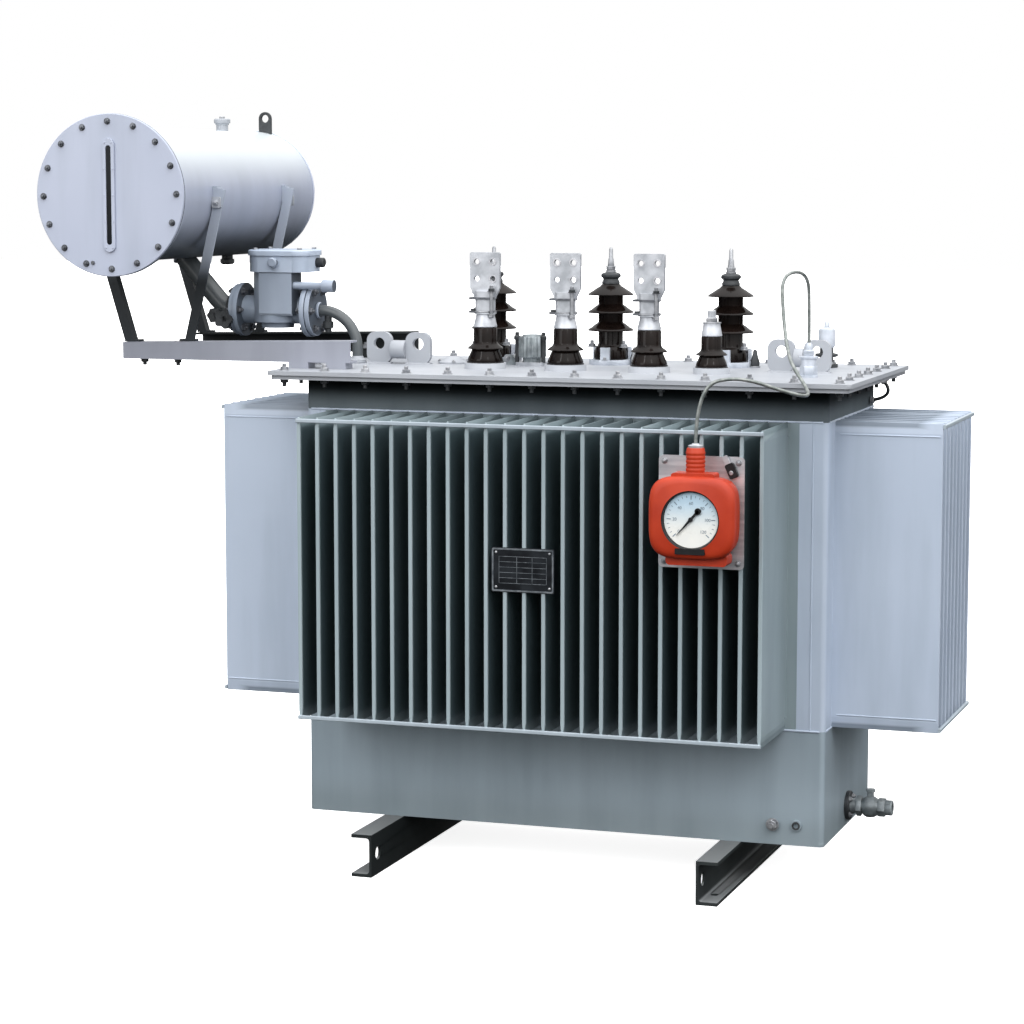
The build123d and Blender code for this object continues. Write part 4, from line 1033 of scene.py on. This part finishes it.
def make_oil_valves():
    shape = Shape()
    make_feed_valve(shape)
    make_drain_valve(shape)
    shape.make("oil_valve_pieces", ["oil_valves"])


# Low-voltage bushings.
bushing_base = node_box("lv_insulators")[0].z
neutral_scale = 0.86
cap_base = 84.0
palm_thick = 10.0
palm_hole = 6.5
palm_pitch = 40.0
lv_bushings = [*((palm, 1.0) for palm in palms), (neutral, neutral_scale)]


def scaled(profile, k):
    return [(radius * k, along * k) for radius, along in profile]


def make_lv_insulators():
    """Low bushings: a conical foot, a thin drooping skirt and a plain band."""
    shape = Shape()
    profile = [
        (0, 0), (39.5, 0), (41.5, 2.0), (42, 5.5), (40.5, 11), (36.5, 21), (33.0, 29), (31.5, 34),
        (32.5, 35.5), (37, 34.6), (41.0, 32.6), (42.2, 33.2), (42.0, 34.6), (38, 38.5), (32, 42.5),
        (29, 46.5), (28, 51), (28, 80.5), (26.5, 83.2), (24, 84), (0, 84),
    ]
    for at, k in lv_bushings:
        shape.turn(scaled(profile, k), (at.x, at.y, bushing_base), Z, "porcelain", 56)
    shape.make("lv_insulator_pieces", ["lv_insulators"])


def make_bushing_gaskets():
    shape = Shape()
    for at, k in lv_bushings:
        shape.ring(40 * k, 43.5 * k, 2.2, (at.x, at.y, bushing_base), Z, "rubber", 48)
    shape.make("bushing_gaskets")


def make_lv_clamp(shape, x, y, low):
    """A flared cap, washers, a nut and the clamp's jaws with their bolt."""
    cap = [(0, 0), (27, 0), (28, 1.5), (27.5, 4), (24.5, 16), (22, 27), (22, 30), (26, 31), (26, 34)]
    shape.turn([*cap, (20, 34.5), (0, 34.5)], (x, y, low), Z, "terminal", 44)
    shape.disc((x - 2, y, low + 34.5), Z, 27.0, 3.0, "zinc", 0.8, 36)
    shape.nut(16, 37, 51, (x, y, low), Z, "zinc", 0.4)
    jaw = [(a - 6, b) for a, b in rounded_outline(60, 42, 8)]
    for lift, hand in ((33.0, 1), (65.0, -1)):
        shape.plate(jaw, (x, y, low + lift), X, Y, 5.0, "dark_bolt")
        screw = [(0, 0), (8, 0), (8, 5), (0, 5)]
        shape.turn(screw, (x - 25, y - 11 * hand, low + lift + 5), Z, "iron", 6)
    shape.plate(rounded_outline(44, 34, 9), (x, y, low + 38), X, Y, 46, "terminal")
    x += 21
    y -= 17
    shape.disc((x, y, low + 22), Z, 4.5, 76, "zinc", 1.0, 16)
    shape.bolt((x, y, low + 84), Z, 7.5, "iron", 2)
    shape.bolt((x, y, low + 30), -Z, 7.5, "zinc", 0)


def make_palm(shape, palm):
    half = palm_pitch / 2
    holes = [circle(palm_hole, 20, sx * half, sy * half) for sx in (-1, 1) for sy in (-1, 1)]
    foot = -67.0
    head = 42.0
    outline = [(-37, foot + 26), (-24, foot), (24, foot), (37, foot + 26), (37, head - 3), (34, head)]
    outline += [(-34, head), (-37, head - 3)]
    face = palm.y + palm_thick / 2
    shape.plate(outline, (palm.x, face, palm.z), X, Z, palm_thick, "terminal", holes)
    for sx, sz in ((-1, 1), (1, 1), (1, -1)):
        place = (palm.x + sx * half, palm.y - palm_thick / 2, palm.z + sz * half)
        shape.ring(6.6, 9.5, 1.2, place, -Y, "steel", 20)


def make_neutral_terminal(shape):
    k = neutral_scale
    low = bushing_base + cap_base * k
    top = low + 34 * k
    x, y = neutral.x, neutral.y
    cap = scaled([(0, 0), (27, 0), (28, 2), (25, 18), (23, 30), (23, 34), (0, 34)], k)
    shape.turn(cap, (x, y, low), Z, "terminal", 44)
    shape.disc((x, y, top), Z, 22, 2.5, "zinc", 0.8, 32)
    shape.bolt((x, y, top + 2.5), Z, 15.0, "zinc", 0, False)
    shape.turn([(0, 12), (9.5, 12), (9.5, 28), (8, 30), (0, 30)], (x, y, top), Z, "terminal", 24)


def make_lv_terminals():
    shape = Shape()
    for palm in palms:
        make_lv_clamp(shape, palm.x, palm.y, bushing_base + cap_base)
        make_palm(shape, palm)
    make_neutral_terminal(shape)
    shape.make("lv_terminal_pieces", ["lv_terminals"], bevel=0.7)


# High-voltage bushings.
hv_body = 29.5
first_shed = 74.0
shed_pitch = 43.0
stud_rise = 30.0
clamp_thick = 12.0
finger_ring = 46.0
finger_top = 30.0
vent_offset = (61, -2)


def shed(z, reach, root, rise):
    """One drooping shed, from its hollow underside round the tip to the slope above."""
    return [
        (root, z + 5.0), (root + 6, z + 3.4), (reach - 8, z - 1.2), (reach - 2.4, z - 4.6),
        (reach - 0.3, z - 5.2), (reach, z - 3.6), (reach - 1.6, z - 1.0), (reach - 9, z + 3.2),
        (root + 8, z + rise * 0.62), (root + 2.4, z + rise * 0.84), (root, z + rise),
    ]


def make_hv_insulators():
    """A foot, two sheds and a third one that rises to a cone."""
    shape = Shape()
    low, high = node_box("hv_insulators")
    reach = (high.y - low.y) / 2
    top = high.z - low.z
    cone = first_shed + 2 * shed_pitch
    profile = [(0, 0), (38, 0), (40, 2), (40, 20), (37, 27), (32, 33), (hv_body, 38)]
    for index in range(2):
        profile += shed(first_shed + index * shed_pitch, reach, hv_body, 16)
    profile += [
        (hv_body, cone + 4), (36, cone + 2.6), (reach - 8, cone - 2.4), (reach - 2, cone - 5.6),
        (reach - 0.3, cone - 5.4), (reach, cone - 3.6), (reach - 4, cone), (reach - 13, cone + 5.5),
        (34, cone + 11), (27, cone + 15), (24, top - 2), (22, top), (0, top),
    ]
    for at in hv_studs:
        shape.turn(profile, (at.x, at.y, low.z), Z, "porcelain", 64)
    shape.make("hv_insulator_pieces", ["hv_insulators"])


def make_hv_terminals():
    """A dark cap of two rounded collars and a stepped stud with its nut."""
    shape = Shape()
    base = node_box("hv_terminals")[0].z
    cap = [
        (0, -0.5), (20, -0.5), (21.5, 1.5), (21.5, 6), (19, 10), (18.5, 13), (20, 15.5), (23.2, 17.5),
        (24, 20.5), (23.2, 24.5), (20, 27), (12, 29.5), (0, 30),
    ]
    stud = [(0, -1), (12, -1), (12, 4), (8.2, 5), (8.0, 14), (7.0, 20), (6.6, 30), (5.0, 33)]
    stud += [(4.6, 54), (2.8, 58), (0, 58)]
    for at in hv_studs:
        shape.turn(cap, (at.x, at.y, base), Z, "iron", 44)
        shape.turn(stud, (at.x, at.y, base + stud_rise), Z, "zinc", 24)
        shape.nut(12, 5, 13, (at.x, at.y, base + stud_rise), Z, "zinc", chamfer=1)
    shape.make("hv_terminal_pieces", ["hv_terminals"])


def make_hv_clamp_nuts():
    """Studs and nuts on the clamp fingers, smaller ones round each flange and a vent screw beside it."""
    shape = Shape()
    base = cover_top + clamp_thick
    vent_profile = [(0, 3), (10, 3), (11, 6), (11, 16), (7.5, 24), (5, 38), (3, 42), (0, 43)]
    for at, vent_material in zip(hv_studs, ("zinc", "zinc", "iron")):
        for place in around(3, finger_ring, (at.x, at.y, base + finger_top), (X, Y), 90.0):
            shape.bolt(place, Z, 9.0, "zinc", 8)
        for place in around(3, finger_ring - 1, (at.x, at.y, base), (X, Y), 30.0):
            shape.bolt(place, Z, 7.5, "zinc", 10)
        vent = (at.x + vent_offset[0], at.y + vent_offset[1], cover_top)
        shape.disc(vent, Z, 13, 3, "zinc", 0.5, 24)
        shape.turn(vent_profile, vent, Z, vent_material, 6)
    shape.make("hv_clamp_nuts")


# Small fittings on the cover.
tap_changer_place = (-163.0, 40.0, cover_top)
dome_place = (-370.0, 60.0, cover_top)
relief_place = (tank_high.x - 106.0, 200.0, cover_top)
pocket_place = (*capillary_route[0][:2], cover_top)


def ribbed(shape, place, radius, height, ribs, depth, material):
    """An upright drum with rounded ribs down its side."""
    turns = [2 * pi * step / (ribs * 4) for step in range(ribs * 4)]
    rings = []
    for z, scale in ((0, 0.94), (2.5, 1.0), (height - 3, 1.0), (height, 0.93)):
        reaches = [(radius - depth * (0.5 - 0.5 * cos(ribs * turn))) * scale for turn in turns]
        ring = [Vector((reach * cos(turn), reach * sin(turn), z)) for reach, turn in zip(reaches, turns)]
        rings.append([Vector(place) + point for point in ring])
    shape.skin(rings, material)


def make_tap_changer(shape, place):
    cast = "dark_casting"
    x, y, z = place
    shape.plate(rounded_outline(66, 64, 8), place, X, Y, 9, "terminal")
    shape.turn([(0, 8), (24, 8), (22, 11), (22, 22), (0, 22)], place, Z, cast, 36)
    ribbed(shape, (x, y, z + 20), 34.0, 50.0, 20, 3.2, cast)
    shape.turn([(0, 70), (24, 70), (22, 74), (8, 75), (0, 75)], place, Z, cast, 36)
    post = [(0, 8), (5, 8), (5, 62), (8, 63), (8, 70), (5, 73), (5, 80), (0, 81)]
    for hand in (-1, 1):
        shape.turn(post, (x + hand * 33, y - 14, z), Z, "iron", 12)
    lug = [(0, 0), (34, 0), (34, 14), (26, 24), (8, 24), (0, 12)]
    shape.plate(lug, (x - 78, y + 6, z), X, Z, -14, cast)
    shape.bolt((x - 61, y - 8, z + 16), -Y, 7.0, "zinc", 3)


def make_dome(shape, place):
    profile = [(0, 0), (36, 0), (37, 1.5), (36, 4.5), (31, 6), (27, 10), (19, 14.5), (9, 17), (0, 17.5)]
    shape.turn(profile, place, Z, "cover_paint", 44)
    for at in around(4, 33, Vector(place) + Z * 4, (X, Y), 20.0):
        shape.bolt(at, Z, 4.6, "zinc", 2)


def make_relief(shape, place):
    """The pressure relief valve: two dark flanges with a bolt ring and a pale body."""
    base = [(0, 0), (26, 0), (27, 1.5), (27, 8), (25, 9), (17, 10), (16, 14), (16, 24), (22, 25)]
    base += [(27, 26.5), (27, 32), (25, 33), (17, 34), (16, 38), (16, 48)]
    shape.turn(base, place, Z, "iron", 40)
    body = [(0, 47), (17, 47), (19.5, 50), (20, 53), (20, 86), (18.5, 91), (13, 94), (7, 95), (6.5, 104)]
    shape.turn([*body, (5, 108), (0, 109)], place, Z, "casting", 40)
    for at in around(4, 21, Vector(place) + Z * 9, (X, Y), 45.0):
        shape.bolt(at, Z, 5.0, "zinc", 4)


def make_pocket(shape, place):
    """The thermometer pocket: a hexagon body, a ring and the capillary's gland."""
    shape.turn([(0, 0), (21, 0), (21, 4), (19, 5), (0, 5)], place, Z, "casting", 36)
    shape.nut(20, 4, 26, place, Z, "casting", 0.25)
    ring = [(0, 26), (17, 26), (17, 42), (22, 43.5), (22, 46.5), (14, 48), (0, 48)]
    shape.turn(ring, place, Z, "casting", 36)
    gland = [(0, 46), (11, 46), (11.5, 48), (11.5, 60), (9, 62), (8.5, 72), (5.5, 77.5), (0, 77.8)]
    shape.turn(gland, place, Z, "casting", 28)
    for z in (51, 54, 57):
        thread = [(11, z), (12.4, z + 0.6), (12.4, z + 1.6), (11, z + 2.2)]
        shape.turn(thread, place, Z, "casting", 28)


def make_cover_fittings():
    shape = Shape()
    make_tap_changer(shape, tap_changer_place)
    make_dome(shape, dome_place)
    make_relief(shape, relief_place)
    make_pocket(shape, pocket_place)
    shape.make("cover_fitting_pieces", ["cover_fittings"])


def make_bracket_welds():
    """Weld beads at the foot of the lifting ears."""
    shape = Shape()
    side = 7.0
    half = 31
    for name in ("left_outer", "left_inner", "right_inner", "right_outer"):
        eye = mount("lift_ear_" + name)
        for y in (eye.y - side, eye.y + side):
            line = straight((eye.x - half, y, cover_top), (eye.x + half, y, cover_top), 6)
            shape.bead(line, 3.4, "cover_paint")
    shape.make("bracket_welds")


# Dial thermometer.
dial_radius = 60.0
dial_sink = 4.0
dial_back = case_low.y + 12.0
dial_face = dial_back - 2.0
ring_steps = 96
case_depth = 85.0
case_half_x = (case_high.x - case_low.x) / 2 - 3.5
case_half_z = 91.0
dial_sweep = (222.0, -42.0)
dial_top_mark = 120
dial_mark_step = 5
dial_number_step = 20
needle_angle = 228.5
number_size = 9.5
number_ring = 36.5


def barrel_ring(y, scale, power=4.0):
    """A rounded square with full sides, about the dial's centre."""
    ring = []
    for step in range(ring_steps):
        turn = 2 * pi * step / ring_steps
        a, b = cos(turn), sin(turn)
        reach = (abs(a) ** power + abs(b) ** power) ** (-1 / power)
        x = dial_x + case_half_x * scale * a * reach
        ring.append(Vector((x, y, dial_z + case_half_z * scale * b * reach)))
    return ring


def dial_ring(y, radius):
    turns = [2 * pi * step / ring_steps for step in range(ring_steps)]
    return [Vector((dial_x + radius * cos(t), y, dial_z - dial_sink + radius * sin(t))) for t in turns]


def make_case_gland(shape, place):
    """The ribbed neck on the case and the capillary's nut."""
    neck = [(0, 0), (23, 0), (24, 2), (24, 6), (20.5, 8)]
    for index in range(6):
        z = 9 + index * 9.0
        neck += [(20.0, z), (21.0, z + 1.6), (21.0, z + 5.8), (20.0, z + 7.4)]
    shape.turn([*neck, (19.5, 66), (18, 69), (0, 69)], place, Z, "orange", 36)
    nut = [(0, 68), (15, 68), (16, 69.5), (16, 74), (9, 76), (8, 78), (4.6, 78.2), (0, 78.2)]
    shape.turn(nut, place, Z, "terminal", 32)


def make_thermometer_case():
    shape = Shape()
    front = case_low.y
    rear = front + case_depth
    barrel = [
        (rear, 0.88), (rear - 4, 0.92), (rear - 11, 0.94), (rear - 30, 0.955), (front + 30, 0.985),
        (front + 17, 0.985), (front + 9, 0.95), (front + 5, 0.89, 3.6), (front + 3.4, 0.83, 3.0),
    ]
    bezel = dial_ring(front + 1.2, dial_radius + 4.5)
    rings = [barrel_ring(*ring) for ring in barrel]
    shape.skin([*rings, dial_ring(front + 2.0, dial_radius + 8), bezel], "orange", caps=False)
    # The recess's inner wall is black: painted shade for the bezel's shadow round the dial.
    inside = [dial_ring(front + 2.6, dial_radius + 2), dial_ring(front + 12, dial_radius)]
    shape.skin([bezel, *inside], "black", caps=False)
    rings = [barrel_ring(rear, 0.88), dial_ring(rear, 30), dial_ring(rear + 9.5, 20)]
    shape.skin(rings, "orange", caps=False)
    shape.plate(rounded_outline(96, 16, 6), (dial_x, front + 20, dial_z + 88), X, Z, -44, "orange")
    shape.plate(rounded_outline(136, 26, 9), (dial_x + 8, front + 24, dial_z - 91), X, Z, -48, "orange")
    bar_place = (dial_x, front + 0.2, dial_z - dial_radius - 11)
    shape.plate(rounded_outline(66, 13, 2), bar_place, X, Z, -3.4, "black")
    make_case_gland(shape, (dial_x, (rear + front) / 2 + 2.5, case_high.z - 78.5))
    shape.make("thermometer_case", ["thermometer_housing"], sharp=40)


def dial_angle(value):
    return radians(dial_sweep[0] + (dial_sweep[1] - dial_sweep[0]) * value / dial_top_mark)


def dial_axes(turn):
    """Outwards at an angle and across it."""
    return Vector((cos(turn), 0, sin(turn))), Vector((-sin(turn), 0, cos(turn)))


def make_dial():
    """The dial plate with its scale, the needle and the numbers."""
    shape = Shape()
    middle = dial_z - dial_sink
    shape.disc((dial_x, dial_back, middle), -Y, dial_radius + 0.2, 2.0, "dial", 0.4, 72)
    for value in range(0, dial_top_mark + 1, dial_mark_step):
        out, side = dial_axes(dial_angle(value))
        inner, half = (45.0, 1.0) if value % dial_number_step == 0 else (49.0, 0.55)
        start = Vector((dial_x, dial_face, middle)) + out * inner
        long = 54.0 - inner
        mark = [(0, -half), (long, -half), (long, half), (0, half)]
        shape.plate(mark, start, out, side, 0.4, "marks")
    out, side = dial_axes(radians(needle_angle))
    hub = Vector((dial_x, dial_face - 3.0, middle + 2))
    needle = [(-26, -3.6), (-10, -2.6), (0, -3.0), (44, -0.7), (49, 0), (44, 0.7), (0, 3.0)]
    shape.plate([*needle, (-10, 2.6), (-26, 3.6)], hub, out, side, 1.2, "black")
    shape.disc(hub - out * 24 + Y * 1.0, -Y, 7.2, 2.2, "black", 0.5, 24)
    shape.disc(hub + Y * 1.5, -Y, 5.0, 4.0, "black", 1.0, 24)
    shape.make("thermometer_dial_piece", ["thermometer_dial"])
    for value in range(0, dial_top_mark + 1, dial_number_step):
        make_dial_number(value)


def make_dial_number(value):
    text = bpy.data.curves.new("dial_number_%d" % value, "FONT")
    text.body = str(value)
    text.size = number_size / METRE
    text.extrude = 0.2 / METRE
    text.align_x = "CENTER"
    text.align_y = "CENTER"
    text.materials.append(mat["marks"])
    number = bpy.data.objects.new("dial_number_%d" % value, text)
    scene.collection.objects.link(number)
    turn = dial_angle(value)
    x = dial_x + number_ring * cos(turn)
    number.location = metres((x, dial_face - 0.3, dial_z - dial_sink + number_ring * sin(turn)))
    number.rotation_euler = (radians(90), 0, 0)
    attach(number, "root")


def make_thermometer_mounts():
    """Screws in the backing plate's corners and the dark catch beside the case."""
    shape = Shape()
    inset = 13.0
    face = backing_low.y
    for x in (backing_low.x + inset, backing_high.x - inset):
        for z in (backing_low.z + inset, backing_high.z - inset):
            shape.bolt((x, face, z), -Y, 5.5, "zinc", 2)
    catch = Vector((backing_high.x - 27, face, backing_high.z - 30))
    tilt = Matrix.Rotation(radians(-24), 3, "Y")
    shape.plate(rounded_outline(20, 34, 5), catch - Y * 0.5, tilt @ X, tilt @ Z, 10, "black")
    lever = catch + Vector((-8, -4, 14))
    shape.plate(rounded_outline(12, 40, 4), lever, tilt @ X, tilt @ Z, 6, "steel")
    shape.disc(catch + Vector((0, -10, -4)), -Y, 5.0, 3.0, "zinc", 0.8, 18)
    shape.make("thermometer_mounts", bevel=0.8)


# Rating plate.
rule_rows = 6
rule_half = 0.5
rule_thick = 0.35
rivet_inset = 11
rule_inset = (18, 20)


def rule(shape, place, left, right, half_z):
    corners = [(left, -half_z), (right, -half_z), (right, half_z), (left, half_z)]
    shape.plate(corners, place, X, Z, rule_thick, "etched")


def make_plate_details():
    """The rating plate's raised edge, four rivets and blank ruled lines."""
    shape = Shape()
    centre = (plate_low + plate_high) / 2
    width = plate_high.x - plate_low.x
    height = plate_high.z - plate_low.z
    face = plate_low.y
    inner = rounded_outline(width - 10, height - 10, 2.5)
    edge = rounded_outline(width - 3, height - 3, 4)
    shape.plate(edge, (centre.x, face, centre.z), X, Z, 0.9, "etched", [inner])
    for sx in (-1, 1):
        for sz in (-1, 1):
            x = centre.x + sx * (width / 2 - rivet_inset)
            z = centre.z + sz * (height / 2 - rivet_inset)
            rivet = [(0, 1.8), (1.6, 1.6), (2.8, 0.8), (3.0, 0), (0, 0)]
            shape.turn(rivet, (x, face, z), -Y, "zinc", 16)
    half = width / 2 - rule_inset[0]
    margin = rule_inset[1]
    top = height / 2 - margin
    for row in range(rule_rows):
        z = centre.z + height / 2 - margin - row * (height - 2 * margin) / (rule_rows - 1)
        rule(shape, (centre.x, face, z), -half, half, rule_half)
    for x in (-half, -half * 0.25, half * 0.4, half):
        rule(shape, (centre.x, face, centre.z), x - rule_half, x + rule_half, top)
    shape.make("rating_plate_details")


# The CAD nodes that stay, with their materials and the width of their softened edges.
kept_nodes = (
    ("tank_corners", "paint", 0), ("relay_head", "paint", 2.0), ("fin_rods", "rod_paint", 1.0),
    ("tank_skirt", "skirt_paint", 0), ("tank_floor", "skirt_paint", 1.5), ("tank_collar", "collar_paint", 0),
    ("fin_wall_front", "front_fins", 1.6), ("fin_wall_back", "front_fins", 1.6),
    ("fin_wall_left", "side_fins", 1.6), ("fin_wall_right", "side_fins", 1.6),
    ("cover_plate", "cover_paint", 1.2), ("tank_rim", "cover_paint", 1.0),
    ("lifting_brackets", "cover_paint", 1.2), ("conservator_shell", "drum_paint", 0.8),
    ("level_gauge_frame", "end_paint", 0.8),
    ("beam_front", "beam_paint", 1.0), ("beam_back", "shaded_beam", 1.0),
    ("leg_frame_front", "leg_paint", 0.8), ("leg_frame_back", "leg_paint", 0.8),
    ("relay_body", "fitting_paint", 1.0), ("skid_left", "skid_paint", 1.2), ("skid_right", "skid_paint", 1.2),
    ("hv_clamps", "casting", 1.8), ("level_gauge_glass", "glass", 0.4), ("thermometer_plate", "steel", 0.8),
    ("rating_plate", "plate", 0.4), ("core", "core", 0), ("windings", "paper", 0),
)


def dress_nodes():
    for node, material, width in kept_nodes:
        piece = frame["nodes"][node]
        piece.data.materials.clear()
        piece.data.materials.append(mat[material])
        if width:
            join = piece.modifiers.new("join", "WELD")
            join.merge_threshold = 0.02 / METRE
            soften(piece, width)


mat = {**make_paints(), **make_surfaces()}
make_camera()
make_studio()
make_capillary()
dress_nodes()
for make_piece in (
    make_rim_bolts, make_tank_welds, make_fin_creases, make_earth_terminals, make_bonding_strap,
    make_conservator_ends, make_conservator_welds, make_gauge_screws, make_conservator_fittings,
    make_conservator_supports, make_relay_bolts, make_relay_pipes, make_oil_valves, make_lv_insulators,
    make_bushing_gaskets, make_lv_terminals, make_hv_insulators, make_hv_terminals, make_hv_clamp_nuts,
    make_cover_fittings, make_bracket_welds, make_thermometer_case, make_dial, make_thermometer_mounts,
    make_plate_details,
):
    make_piece()
